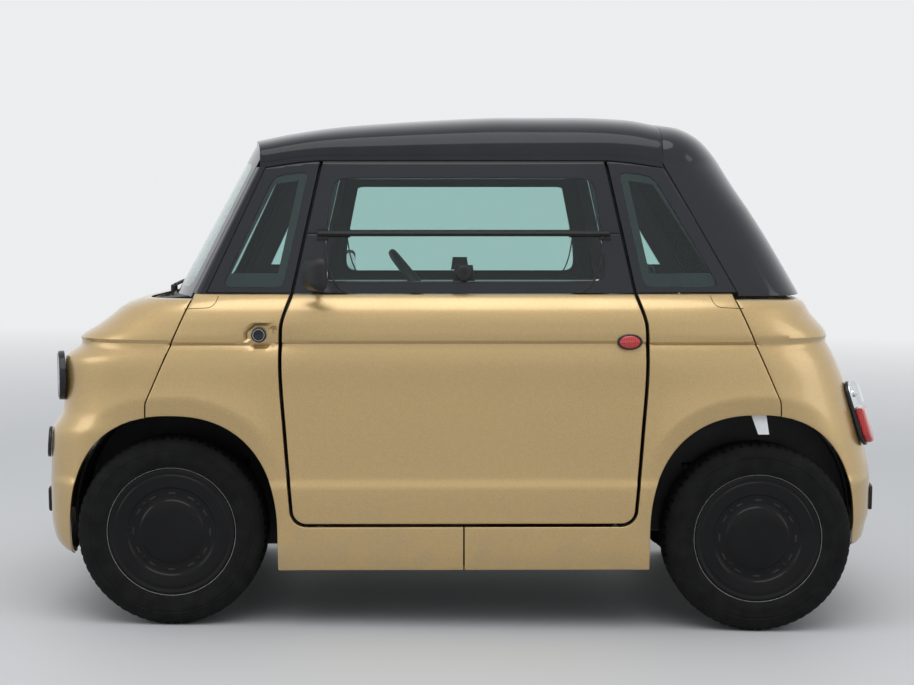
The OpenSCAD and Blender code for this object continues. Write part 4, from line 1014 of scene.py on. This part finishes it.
# ---- Lamps, pads and locks ----
def lens_dome(r, rise, base, steps=12):
    return [(r * math.sin(t), base + rise * math.cos(t)) for t in np.linspace(math.pi / 2, 0, steps)]


def lamp_rows(r, deep):
    """Bezel, reflector bowl with its bulb shield, and the clear cover, about Z."""
    bezel = revolved(rounded([(r - 9, 1), (r - 9, deep - 5), (r - 5, deep - 1), (r - 1, deep - 3), (r, 0),
                              (r - 9, 0)], 3), 96)
    bowl = revolved([(r - 9, deep - 7), (r - 18, deep - 12), (r * 0.45, 3), (0, 1.5), (0, 0.2),
                     (r - 9, 0.2)], 96)
    shield = revolved([(0, 1), (r * 0.24, 1), (r * 0.24, deep * 0.5), (r * 0.14, deep * 0.62),
                       (0, deep * 0.64)], 48)
    cover = revolved([(r - 9, deep - 6), *lens_dome(r - 9, 4.5, deep - 4.6), (0, deep - 2.2),
                      *reversed(lens_dome(r - 11, 4, deep - 6.6)[:-1])], 96)
    return [(bezel, 0), (bowl, 1), (shield, 0), (cover, 2)]


def at_place(rows, matrix):
    return [(moved(part, matrix), k) for part, k in rows]


def both(rows):
    return rows + [(mirrored(part), k) for part, k in rows]


def end_place(arc, degrees, z):
    return [float(np.interp(math.radians(degrees), arc.angle, arc.length)), z]


lamps = at_place(lamp_rows(74, 20), on_skin(nose_skin, end_place(nose_arc, 18.5, CREASE_Z - 106), 1.5))
lamps += at_place(lamp_rows(47, 12), on_skin(nose_skin, end_place(nose_arc, 15, CREASE_Z - 310), 0.4))
make("headlamp_units", both(lamps), [GLOSS, CHROME, CLEAR], "body", ["headlamps"])


def clipped_capsule(r, stretch, low, high):
    outline = disc_outline(r, stretch, 96)
    return np.stack([np.clip(outline[:, 0], low, high), outline[:, 1]], 1)


def tail_rows():
    """Housing, a red lens on the outer part and a clear one over a reflector on the inner part."""
    def plate(outline, low, high, radius):
        return slab(outline, low, high, radius, "xy")
    inner = clipped_capsule(38, 58, 18, 200)
    return [(plate(disc_outline(42, 58, 96), 0, 12, 4), 0),
            (plate(clipped_capsule(38, 58, -200, 14), 10, 34, 9), 1), (plate(inner, 10, 14, 1), 2),
            (plate(inner, 15.5, 34, 8), 3),
            (moved(revolved([(0, 0), (12, 0), (12, 6), (7, 13), (0, 14)], 32),
                   Matrix.Translation((60, 0, 13))), 2)]


upright = Matrix.Rotation(math.pi / 2, 4, "Z")
tail = at_place(tail_rows(), on_skin(tail_skin, end_place(tail_arc, 22, CREASE_Z - 226), 0.4) @ upright)
make("tail_lamp_units", both(tail), [GLOSS, RED, CHROME, CLEAR], "body", ["tail_lamps"])


def level_shift(skin, d):
    def out(p):
        n = normals(skin, p)
        n[:, 2] = 0
        return skin(p) + n / np.linalg.norm(n, axis=1)[:, None] * d
    return out


def pad_part(skin, arc, reach):
    s = end_place(arc, reach, 0)[0]
    low, high, r = SILL_Z + 142, SILL_Z + 216, 16
    turn = np.linspace(0, math.pi / 2, 7)
    outline = []
    for cx, cz, start in ((s - r, high - r, 0), (-s + r, high - r, 1), (-s + r, low + r, 2),
                          (s - r, low + r, 3)):
        outline += [(cx + r * math.cos(t + start * math.pi / 2), cz + r * math.sin(t + start * math.pi / 2))
                    for t in turn]
    return panel(outline, level_shift(skin, PAD_PROUD), level_shift(skin, 0.9), edge=5, pitch=9)[0]


make("bumper_blocks", [pad_part(nose_skin, nose_arc, 14), pad_part(tail_skin, tail_arc, 18)], MATT, "body",
     ["bumper_pads"])

CUP_FLOOR = float(side_y(np.array([LOCK_X]), np.array([LOCK_Z]))[0]) - CUP_DEPTH
lock_rows = [(revolved(rounded([(0, 0), (22, 0), (22, 8), (18, 11), (14, 10), (0, 9)], 2), 48), 0),
             (revolved([(17, 8), (17, 11.6), (15.8, 11.6), (15.8, 8)], 48), 1)]
lock = at_place(lock_rows, Matrix.Translation((LOCK_X, CUP_FLOOR + 0.4, LOCK_Z))
                @ Matrix.Rotation(-math.pi / 2, 4, "X"))
make("door_buttons", lock + [(turned(p), k) for p, k in lock], [GLOSS, BARE], "body",
     ["door_locks"])

# ---- Wheels ----
along_y = Matrix.Rotation(-math.pi / 2, 4, "X")


def tyre_part():
    """Section with bead, sidewall rings and four tread grooves; sipes cut the two shoulders."""
    w, r = TYRE_W / 2, RIM_R + 0.4
    h = TYRE_R - r
    wall_line = [(r, w - 20), (r + 2, w - 14), (r + 0.12 * h, w - 8), (r + 0.25 * h, w - 4.5),
                 (r + 0.30 * h, w - 2.6), (r + 0.33 * h, w - 2.2), (r + 0.52 * h, w),
                 (r + 0.56 * h, w - 0.1), (r + 0.58 * h, w - 1.3), (r + 0.61 * h, w - 1.3),
                 (r + 0.63 * h, w - 0.6), (r + 0.8 * h, w - 4), (r + 0.86 * h, w - 7.5),
                 (TYRE_R - 6, w - 15), (TYRE_R - 3, w - 20), (TYRE_R - 1, w - 27), (TYRE_R, w - 34)]
    tread = []
    for y in (25.5, 8.5, -8.5, -25.5):
        tread += [(TYRE_R, y + 3.2), (TYRE_R - 6, y + 2.6), (TYRE_R - 6, y - 2.6), (TYRE_R, y - 3.2)]
    points, faces = revolved(wall_line + tread + [(a, -b) for a, b in reversed(wall_line)], 320)
    a, rr = np.arctan2(points[:, 1], points[:, 0]), np.hypot(points[:, 0], points[:, 1])
    shoulder = (np.abs(points[:, 2]) > 29.5) & (rr > TYRE_R - 5)
    step = np.round(a / (2 * math.pi) * 320).astype(int)
    cut = np.where(shoulder & (step % 5 == 0), (TYRE_R - 5.5) / TYRE_R, 1.0)
    points[:, :2] *= cut[:, None]
    return points, faces


def wheel_rows():
    """Closed disc: rim lip, thin bright ring, raised outer band, and a domed middle with slots round it."""
    w = TYRE_W / 2
    r = RIM_R
    disc = [(0, w - 9), (58, w - 9.5), (74, w - 10.5), (90, w - 12.5), (95, w - 16.5), (104, w - 17.5),
            (122, w - 17.5), (128, w - 16), (131, w - 12.6), (136, w - 11.8), (160, w - 9.4),
            (166, w - 9.5), (169, w - 11.5), (174, w - 11), (r + 1, w - 8.2), (r + 7, w - 8.6),
            (r + 8, w - 11), (r + 6, w - 14), (r, w - 17), (r, -w + 12), (r - 13, -w + 12), (r - 13, 26),
            (48, 26), (48, 0.4), (16, 0.4), (16, 36), (0, 36)]
    rows = [(revolved(rounded(disc, 2.2, 3), 128), 0)]
    rows.append((revolved([(r + 9, w - 12), (r + 10.5, w - 9), (r + 12.5, w - 8.4), (r + 13.5, w - 10),
                           (r + 13, w - 13)], 128), 1))
    for k in range(12):
        slot = slab(disc_outline(3.2, 8, 24), w - 19, w - 15.6, 1.2, "xy")
        turn = (Matrix.Rotation(k * math.pi / 6, 4, "Z") @ Matrix.Translation((113, 0, 0))
                @ Matrix.Rotation(math.pi / 2, 4, "Z"))
        rows.append((moved(slot, turn), 2))
    for k in range(4):
        boss = revolved([(0, w - 19), (7, w - 19), (7, w - 15), (5, w - 13.6), (0, w - 13.6)], 24)
        turn = Matrix.Rotation((k + 0.5) * math.pi / 2, 4, "Z") @ Matrix.Translation((112, 0, 0))
        rows.append((moved(boss, turn), 0))
    return rows


TYRE_LIFT = 0.04  # keeps the finer tread above the ground of the frame
tyre_shape, wheel_shape = tyre_part(), wheel_rows()
for end, x in (("front", FRONT_X), ("rear", REAR_X)):
    for side, sign in SIDES.items():
        hub = Matrix.Translation((x, WHEEL_Y, TYRE_R + TYRE_LIFT)) @ along_y
        place = [(on_side(side, moved(p, hub)), k) for p, k in [(tyre_shape, 0)] + wheel_shape]
        make(f"tyre_tread_{end}_{side}", place[:1], TYRE, f"wheel_{end}_{side}",
             [f"tyre_{end}_{side}"], at=ROAD, sharp=28)
        make(f"wheel_cover_{end}_{side}", place[1:], [COVER, BARE, MATT], f"wheel_{end}_{side}",
             [f"wheel_{end}_{side}"], at=ROAD, sharp=40)


def seal(low_off, high_off, low_depth, high_depth, sign):
    """Flat rubber lip along the gap beside a door pane, between two offsets from the gap's middle."""
    rings = []
    for z in np.linspace(BELT_Z + 3, PANE_HIGH - 10, 20):
        ring = []
        for off, d in ((low_off, low_depth), (high_off, low_depth), (high_off, high_depth),
                       (low_off, high_depth)):
            x = sign * float(door_line(z, off))
            ring.append([x, float(cab_y(x, z)) - d, z])
        rings.append(np.array(ring))
    return lofted(rings)


# The free edge closes on a lip of the body; the hinged edge carries its own lip, inside the body's frame
body_lip = seal(-9, 18, 27.5, 31, 1)
hinge_lip = [seal(-14, 16, 29.5, 32, -1), seal(-14, -9, 23.5, 31, -1)]
make("door_seals", [body_lip, turned(body_lip)], RUBBER, "body", sharp=60)


def gasket(places, skin, inside, outside):
    """Flat rubber strip behind a run of gaps; places are pairs of points on the skin, across the gap."""
    rings = []
    for pair in places:
        pair = np.array(pair, float)
        on, into = skin(pair), normals(skin, pair)
        rings.append(np.array([*(on - into * outside), *(on - into * inside)[::-1]]))
    return lofted(rings)


def cab_gaskets():
    """Strips over the doors and quarter panes, behind the last pane's rear edge and behind the pillar."""
    strips = []
    for x_low, x_high, low in ((-GLASS_TOP_X, -DOOR_TOP_X - 12, -24),
                               (-DOOR_TOP_X - 12, DOOR_TOP_X + 12, -7),
                               (DOOR_TOP_X + 12, GLASS_TOP_X, -24)):
        places = []
        for x in np.linspace(x_low, x_high, 16):
            edge = CANT_Z - cant_line(0.0) + cant_line(x)
            places.append(((x, edge + low), (x, edge + 10)))
        strips.append(gasket(places, cab_skin, 12, 8.5))
    heights = np.linspace(BELT_Z + 2, CANT_Z - 8, 24)
    behind_cap = [((-pane_end(-1, z) + 12, z), (-pane_end(-1, z) - 34, z)) for z in heights]
    strips.append(gasket(behind_cap, cab_skin, 12, 7))
    strips.append(lofted([corner_ring(z) for z in np.linspace(BELT_Z + 2, CANT_Z + 4, 26)]))
    return strips


def corner_ring(z):
    """Section of the strip behind a pillar cover, from under the side pane to under the windscreen."""
    y = corner_y(z)
    x = screen_x(y, z)
    start = cab_skin(np.array([[pane_end(1, z) - 14, z]]))[0]
    end = screen_skin(np.array([[y - SCREEN_MARGIN - 14, z]]))[0]
    corner = np.array([x - 1, float(cab_y(x - 1, np.array([z]))[0]) - 1, z])
    line = np.array([start, *bezier(mix(corner, start, 0.45), corner, mix(corner, end, 0.45)), end])
    return np.vstack([line - np.array([8, 8, 0]), (line - np.array([13, 13, 0]))[::-1]])


cab_strips = cab_gaskets()
make("cab_gaskets", cab_strips + [mirrored(p) for p in cab_strips], RUBBER, "body",
     sharp=60)
for side in SIDES:
    top_lip = gasket([((x, DOOR_HIGH - 8), (x, DOOR_HIGH + 5))
                      for x in np.linspace(3 - DOOR_TOP_X, DOOR_TOP_X - 3, 24)], cab_skin, 6.8, 4.3)
    make(f"door_lip_{side}", [DOOR_TURN[side](p) for p in (*hinge_lip, top_lip)], RUBBER, f"door_{side}",
         sharp=60)

# ---- Door fittings ----
HINGE_Z = FLAP_Z + 2


def on_pane(x, z, lift):
    return np.array([x, float(cab_y(x, z)) + lift, z])


def door_fitting_rows():
    """Hinge bar of the flap on its end brackets, the catch with its knob, and the mirror on its stalk."""
    half = float(door_line(FLAP_Z, -DOOR_GAP / 2)) - 30
    bar = boxed(on_pane(-half, HINGE_Z - 8, 1.5), on_pane(half, HINGE_Z + 8, 11.5), 3)
    rows = [(bar, 0), (tube([on_pane(-half + 4, HINGE_Z, 10), on_pane(half - 4, HINGE_Z, 10)], 4.5), 0)]
    for x in (-half + 16, half - 16):
        rows.append((boxed(on_pane(x - 17, HINGE_Z - 20, 0.4), on_pane(x + 17, HINGE_Z + 14, 7), 3), 0))
        for dx in (-9, 9):
            screw = revolved([(0, 0), (4.5, 0), (4.5, 2), (3.5, 3), (0, 3)], 20)
            rows.append((moved(screw, Matrix.Translation(on_pane(x + dx, HINGE_Z - 13, 7)) @ along_y), 0))
    for sx in (-1, 1):
        edge = bezier(np.array([half - 22, HINGE_Z - 18]), np.array([half - 34, BELT_Z + 6]),
                      np.array([half - 100, BELT_Z + 3]), 16)
        rows.append((tube([on_pane(sx * x, z, 0.6) for x, z in edge], 2.4, 8), 0))
    base = [on_pane(sx * w, z, 0.5) for sx, w, z in ((-1, 32, BELT_Z + 38), (1, 32, BELT_Z + 38),
                                                     (1, 26, BELT_Z + 84), (-1, 26, BELT_Z + 84))]
    rows.append((slab([(p[0], p[2]) for p in base], base[0][1] - 12, base[0][1] + 5, 2.5), 0))
    knob = revolved(rounded([(0, 0), (24, 0), (24, 11), (20, 15), (8, 15.5), (0, 13)], 3), 48)
    rows.append((moved(knob, Matrix.Translation(on_pane(0, BELT_Z + 60, 3)) @ along_y), 0))
    rows.append((tube([on_pane(0, BELT_Z + 60 + s, 18.4) for s in (-15, 0, 15)], 2.2, 8), 0))
    x = DOOR_X - 107
    stalk = tube(bezier(on_pane(x, BELT_Z + 34, 0), np.array([x, HALF_W - 20, BELT_Z + 36]),
                        np.array([x, HALF_W + 14, BELT_Z + 54])), 8)
    foot = boxed(on_pane(x - 16, BELT_Z + 20, 0.5), on_pane(x + 16, BELT_Z + 48, 6), 2.5)
    rows += [(stalk, 0), (foot, 0)]
    shell = boxed((x - 22, HALF_W - 10, BELT_Z + 8), (x + 27, HALF_W + 112, BELT_Z + 112), 24, 8)
    middle = np.array([HALF_W + 51, BELT_Z + 60])
    taper = 0.3 * ramp(shell[0][:, :1], x - 20, x + 34)
    shell[0][:, 1:] = mix(shell[0][:, 1:], middle, taper)
    glass = slab(0.82 * disc_outline(46, 6, 40) + middle, 0, 1.6, 0.6)
    face = glass[0][:, [1, 0, 2]] + np.array([x - 22.6, 0, 0])
    pivot = Matrix.Translation((x, middle[0], 0))
    aim = pivot @ Matrix.Rotation(math.radians(26), 4, "Z") @ pivot.inverted()
    rows += [(moved(shell, aim), 0), (moved((face, glass[1]), aim), 1)]
    return rows


fittings = door_fitting_rows()
for side in SIDES:
    make(f"door_hardware_{side}", [(on_side(side, p), k) for p, k in fittings], [MATT, CHROME],
         f"door_{side}", [f"door_{side}_fittings"])

lens_x, lens_z = -DOOR_X + 54, CREASE_Z + 5
lens_y = float(side_y(np.array([lens_x]), np.array([lens_z + 27]))[0]) + 0.4


def lens_rows():
    """Oval marker: a black rim, a red dome and a bar across its middle."""
    wide = np.diag([1.6, 1, 1, 1])
    rim = revolved(rounded([(19, -3), (23, -6), (23, 4), (20, 6.5), (18.4, 4)], 1.5), 64)
    dome = revolved([(20, -2), *lens_dome(19.5, 6, 2.5), (0, -2)], 64)
    rib = tube([(s, 0, 2.6 + 6 * math.sqrt(max(1 - (s / 19.5) ** 2, 0))) for s in np.linspace(-18, 18, 13)],
               1.5, 8)
    return [(moved(p, wide), k) for p, k in ((rim, 0), (dome, 1), (rib, 1))]


lens = at_place(lens_rows(), Matrix.Translation((lens_x, lens_y, lens_z)) @ along_y)
for side in SIDES:
    make(f"door_marker_{side}", [(on_side(side, p), k) for p, k in lens], [GLOSS, RED], f"door_{side}",
         [f"door_{side}_lens"])

# ---- Inside ----
COLUMN = Matrix.Translation((DOOR_X - 414, 265, BELT_Z - 14)) @ Matrix.Rotation(math.radians(128), 4, "Y")


def steering_rows():
    """Rim with thumb swellings, three tapered spokes and a rounded hub cover."""
    rim_at, grip = 162.0, 13.0
    turn = np.linspace(0, 2 * math.pi, 97)[:-1]
    rings = []
    for a in turn:
        r = grip - 1.4 + 1.4 * max(math.cos(3 * a - math.pi / 2), 0)
        b = np.linspace(0, 2 * math.pi, 17)[:-1]
        radius = rim_at + r * np.cos(b)
        rings.append(np.stack([radius * math.cos(a), radius * math.sin(a), r * np.sin(b)], 1))
    n = 16
    faces = [f for k in range(len(rings)) for f in loop_faces(k * n, (k + 1) % len(rings) * n, n)]
    rows = [((np.concatenate(rings), faces), 0)]
    hub = revolved(rounded([(0, 42), (45, 42), (45, 16), (38, 10), (18, 7), (0, 6)], 6), 64)
    rows += [(hub, 0), (tube([(0, 0, 30), (0, 0, 140)], 10), 1)]
    for degrees in (90, 270, 0):
        rings = []
        for t in np.linspace(0, 1, 9):
            half, thick = mix(21, 11, t), mix(7, 5, t)
            x, z = mix(30, 158, t), mix(22, 3, ramp(t, 0, 1))
            rings.append(np.array([[x, half * math.cos(b), z + thick * math.sin(b)] for b in turn[::6]]))
        rows.append((moved(lofted(rings), Matrix.Rotation(math.radians(degrees), 4, "Z")), 0))
    return at_place(rows, COLUMN)


make("steering_wheel_rim", steering_rows(), [MATT, BARE], "steering_wheel",
     ["steering_wheel"])

SEAT_X, SEAT_Y, SEAT_Z, SEAT_W, FLOOR_Z = -DOOR_X + 160, 265.0, 450.0, 420.0, SILL_Z + 25
VOXEL = 0.006  # metres
KEPT_SHARE = 0.45  # of a pad's triangles, to stay within the limit of the whole car
SEAM_DEEP, SEAM_WIDE, FOLD_WIDE = 5, 5, 6


def padding(name, outline, half, cap, channels=(), across=None):
    """Stuffed cushion from an outline in side view: swollen by a cloth simulation, then sewn channels."""
    part = slab(spaced(np.array(outline, float), 25), -half, half, 22)
    piece = make(name, [part], CLOTH, "body", at=BODY @ Matrix.Translation((0, SEAT_Y, 0)))
    swell(piece, cap)
    for v in piece.data.vertices:
        y = v.co.y / MM - SEAT_Y
        deep = sum(SEAM_DEEP * math.exp(-(((y - c) / SEAM_WIDE) ** 2)) for c in channels)
        if across is not None:
            deep += SEAM_DEEP * math.exp(-(((v.co.z / MM - across) / FOLD_WIDE) ** 2))
        v.co -= v.normal * deep * MM
    piece.modifiers.new("smooth", "SUBSURF").render_levels = 1
    piece.modifiers.new("thin", "DECIMATE").ratio = KEPT_SHARE
    return piece


def swell(piece, cap):
    """Gives the piece a mesh blown up by pressure, with no point moved further than cap."""
    scene = bpy.context.scene
    work = piece.copy()
    work.data = piece.data.copy()
    scene.collection.objects.link(work)
    remesh = work.modifiers.new("even", "REMESH")
    remesh.mode = "VOXEL"
    remesh.voxel_size = VOXEL
    start = evaluated(work)
    work.modifiers.clear()
    work.data = start
    cloth = work.modifiers.new("cloth", "CLOTH")
    cloth.settings.quality = 4
    cloth.settings.mass = 0.3
    cloth.settings.tension_stiffness = 12
    cloth.settings.compression_stiffness = 12
    cloth.settings.bending_stiffness = 0.4
    cloth.settings.use_pressure = True
    cloth.settings.uniform_pressure_force = 4
    cloth.settings.effector_weights.gravity = 0
    cloth.point_cache.frame_start, cloth.point_cache.frame_end = 1, 20
    for step in range(1, 21):
        scene.frame_set(step)
    done = evaluated(work)
    for a, b in zip(start.vertices, done.vertices):
        way = b.co - a.co
        if way.length > cap * MM:
            b.co = a.co + way.normalized() * cap * MM
    scene.frame_set(1)
    bpy.data.objects.remove(work)
    done.shade_smooth()
    piece.data = done


def evaluated(piece):
    graph = bpy.context.evaluated_depsgraph_get()
    return bpy.data.meshes.new_from_object(piece.evaluated_get(graph), depsgraph=graph)


def mirrored_piece(piece, name):
    """The same cushion on the other side of the car."""
    twin = piece.copy()
    twin.data = piece.data.copy()
    twin.data.transform(Matrix.Diagonal((1, -1, 1, 1)))
    twin.data.flip_normals()
    twin.name = name
    twin.parent = None
    twin.matrix_world = Matrix.Identity(4)
    bpy.context.scene.collection.objects.link(twin)
    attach(twin, "body")


# Side outlines, from the line where the cushion meets the backrest
X, Z = SEAT_X, SEAT_Z
BASE = [(X - 38, Z - 78), (-66, Z - 64), (-45, Z - 42), (-52, Z - 12), (-82, Z - 2), (-160, Z - 10),
        (X + 70, Z - 24), (X + 18, Z - 10), (X - 28, Z - 12), (X - 66, Z - 6)]
BACK = [(X - 22, Z + 4), (X - 18, Z + 76), (X - 128, Z + 446), (X - 148, Z + 460), (X - 190, Z + 444),
        (X - 192, Z + 426), (X - 82, Z + 6)]
REST = [(X - 138, Z + 486), (X - 176, Z + 612), (X - 190, Z + 624), (X - 214, Z + 616), (X - 221, Z + 600),
        (X - 190, Z + 480)]
pads = [("seat_cushion", padding("seat_cushion_left", BASE, SEAT_W / 2 - 12, 9, (-120, 120))),
        ("seat_back", padding("seat_back_left", BACK, SEAT_W / 2 - 16, 9, (-115, 115), Z + 240)),
        ("head_rest", padding("head_rest_left", REST, 104, 8))]
for name, piece in pads:
    mirrored_piece(piece, f"{name}_right")


def seat_shell_part():
    """Moulded tub behind and under the padding, on a pedestal with runners."""
    outline = [(X - 58, Z - 95), (-60, Z - 77), (-52, Z - 70), (X - 50, Z - 84), (X - 96, Z + 8),
               (X - 204, Z + 432), (X - 209, Z + 430), (X - 102, Z + 4)]
    parts = [slab(outline, -SEAT_W / 2 + 6, SEAT_W / 2 - 6, 2)]
    parts.append(boxed((-DOOR_X + 200, -SEAT_W / 2 + 50, FLOOR_Z + 26), (-60, SEAT_W / 2 - 50, Z - 79), 8))
    for y in (-SEAT_W / 2 + 66, SEAT_W / 2 - 66):
        parts.append(boxed((-DOOR_X + 200, y - 16, FLOOR_Z + 0.5), (-60, y + 16, FLOOR_Z + 28), 4))
        parts.append(tube([(X - 150, y * 0.4, Z + 440), (X - 192, y * 0.4, Z + 520)], 6))
    return [moved(p, Matrix.Translation((0, SEAT_Y, 0))) for p in parts]


shells = seat_shell_part()
make("seat_shells", shells + [mirrored(p) for p in shells], MATT, "body", ["seats"])

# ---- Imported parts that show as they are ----


def finish_node(name, material, bevel=2.0):
    """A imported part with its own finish; its edges are broken by a small bevel."""
    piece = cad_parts[name]
    piece.data.materials.clear()
    piece.data.materials.append(material)
    if bevel:
        edge = piece.modifiers.new("edges", "BEVEL")
        edge.width, edge.segments, edge.limit_method = bevel * MM, 2, "ANGLE"
        edge.angle_limit = math.radians(35)
        edge.use_clamp_overlap = True


for name, material, bevel in (("cabin_frame", FRAME_BLACK, 1.5), ("floor_pan", MATT, 2.5),
                              ("wheel_liners", MATT, 1.0), ("battery_pack", STEEL, 4.0),
                              ("drive_unit", CAST, 3.0), ("front_suspension", STEEL, 1.5),
                              ("rear_axle", STEEL, 1.5), ("dashboard", MATT, 5.0),
                              ("steering_rack", CAST, 1.5), ("knuckle_left", CAST, 2.0),
                              ("knuckle_right", CAST, 2.0), ("door_left_frame", GLOSS, 1.5),
                              ("door_right_frame", GLOSS, 1.5)):
    finish_node(name, material, bevel)

# ---- Camera, light and floor ----
LEVEL = BODY @ ROAD.inverted()
EYE, FOCAL, SENSOR = (0.0597, 5.6177, 1.1897), 67.4, 36
PITCH, YAW = math.radians(3.923), math.radians(0.456)


def camera():
    """The photograph's camera, placed in the level frame of the car."""
    lens_data = bpy.data.cameras.new("camera")
    lens_data.lens, lens_data.sensor_width = FOCAL, SENSOR
    eye = bpy.data.objects.new("camera", lens_data)
    ahead = Vector((-math.sin(YAW) * math.cos(PITCH), -math.cos(YAW) * math.cos(PITCH), -math.sin(PITCH)))
    eye.matrix_world = (LEVEL @ Matrix.Translation(EYE)
                        @ ahead.to_track_quat("-Z", "Y").to_matrix().to_4x4())
    bpy.context.scene.collection.objects.link(eye)
    bpy.context.scene.camera = eye


def softbox(name, at, size, power):
    light = bpy.data.lights.new(name, "AREA")
    light.shape, light.size, light.energy = "DISK", size, power
    box = bpy.data.objects.new(name, light)
    box.location = at
    box.rotation_euler = (Vector((0, 0, 0.6)) - box.location).to_track_quat("-Z", "Y").to_euler()
    bpy.context.scene.collection.objects.link(box)


PALE = (0.84, 0.85, 0.86)
FADE_FROM, FADE_TO, FLOOR_R = 4.0, 14.0, 14.5  # metres from the middle of the car


def pale_world():
    """Soft light that grows towards the zenith; the camera, glass and gloss see a pale backdrop."""
    world = bpy.data.worlds.new("studio")
    bpy.context.scene.world = world
    world.use_nodes = True
    tree = world.node_tree
    tree.nodes.clear()
    path = node(tree, "LightPath").outputs
    seen = path["Is Camera Ray"]
    for ray in ("Is Transmission Ray", "Is Glossy Ray"):
        seen = node(tree, "Math", {0: seen, 1: path[ray]}, operation="MAXIMUM").outputs[0]
    up = node(tree, "SeparateXYZ", {"Vector": node(tree, "TexCoord").outputs["Generated"]}).outputs["Z"]
    strength = remap(tree, up, 0.0, 0.8, 0.2, 1.15)
    light = node(tree, "Background", {"Color": (0.93, 0.96, 1.0, 1), "Strength": strength}).outputs[0]
    pale = node(tree, "Background", {"Color": (*PALE, 1), "Strength": 1.0}).outputs[0]
    mixed = node(tree, "MixShader", {0: seen, 1: light, 2: pale}).outputs[0]
    tree.links.new(mixed, tree.nodes.new("ShaderNodeOutputWorld").inputs["Surface"])


def pale_floor():
    """Round floor that fades into the backdrop with distance."""
    material, tree, out = blank("floor")
    where = node(tree, "TexCoord").outputs["Object"]
    far = node(tree, "VectorMath", {0: where}, operation="LENGTH").outputs["Value"]
    grey = blend(tree, noise(tree, where, 0.8), (0.46, 0.465, 0.47), (0.50, 0.505, 0.51))
    ground = node(tree, "BsdfPrincipled", {"Base Color": grey, "Roughness": 0.6}).outputs[0]
    glow = node(tree, "Emission", {"Color": (*PALE, 1)}).outputs[0]
    fade = remap(tree, far, FADE_FROM, FADE_TO)
    tree.links.new(node(tree, "MixShader", {0: fade, 1: ground, 2: glow}).outputs[0], out)
    points = [(FLOOR_R * math.cos(a), FLOOR_R * math.sin(a), 0)
              for a in np.linspace(0, 2 * math.pi, 129)[:-1]]
    mesh = bpy.data.meshes.new("floor")
    mesh.from_pydata(points, [], [tuple(range(128))])
    mesh.materials.append(material)
    floor = bpy.data.objects.new("floor", mesh)
    bpy.context.scene.collection.objects.link(floor)


camera()
pale_world()
pale_floor()
softbox("overhead", (0.2, 2.4, 4.8), 5.0, 120)
softbox("front_end", (6.4, 3.0, 2.6), 3.5, 45)
softbox("rear_end", (-6.4, 3.0, 2.6), 3.5, 35)
bpy.context.scene.view_settings.view_transform = "Standard"
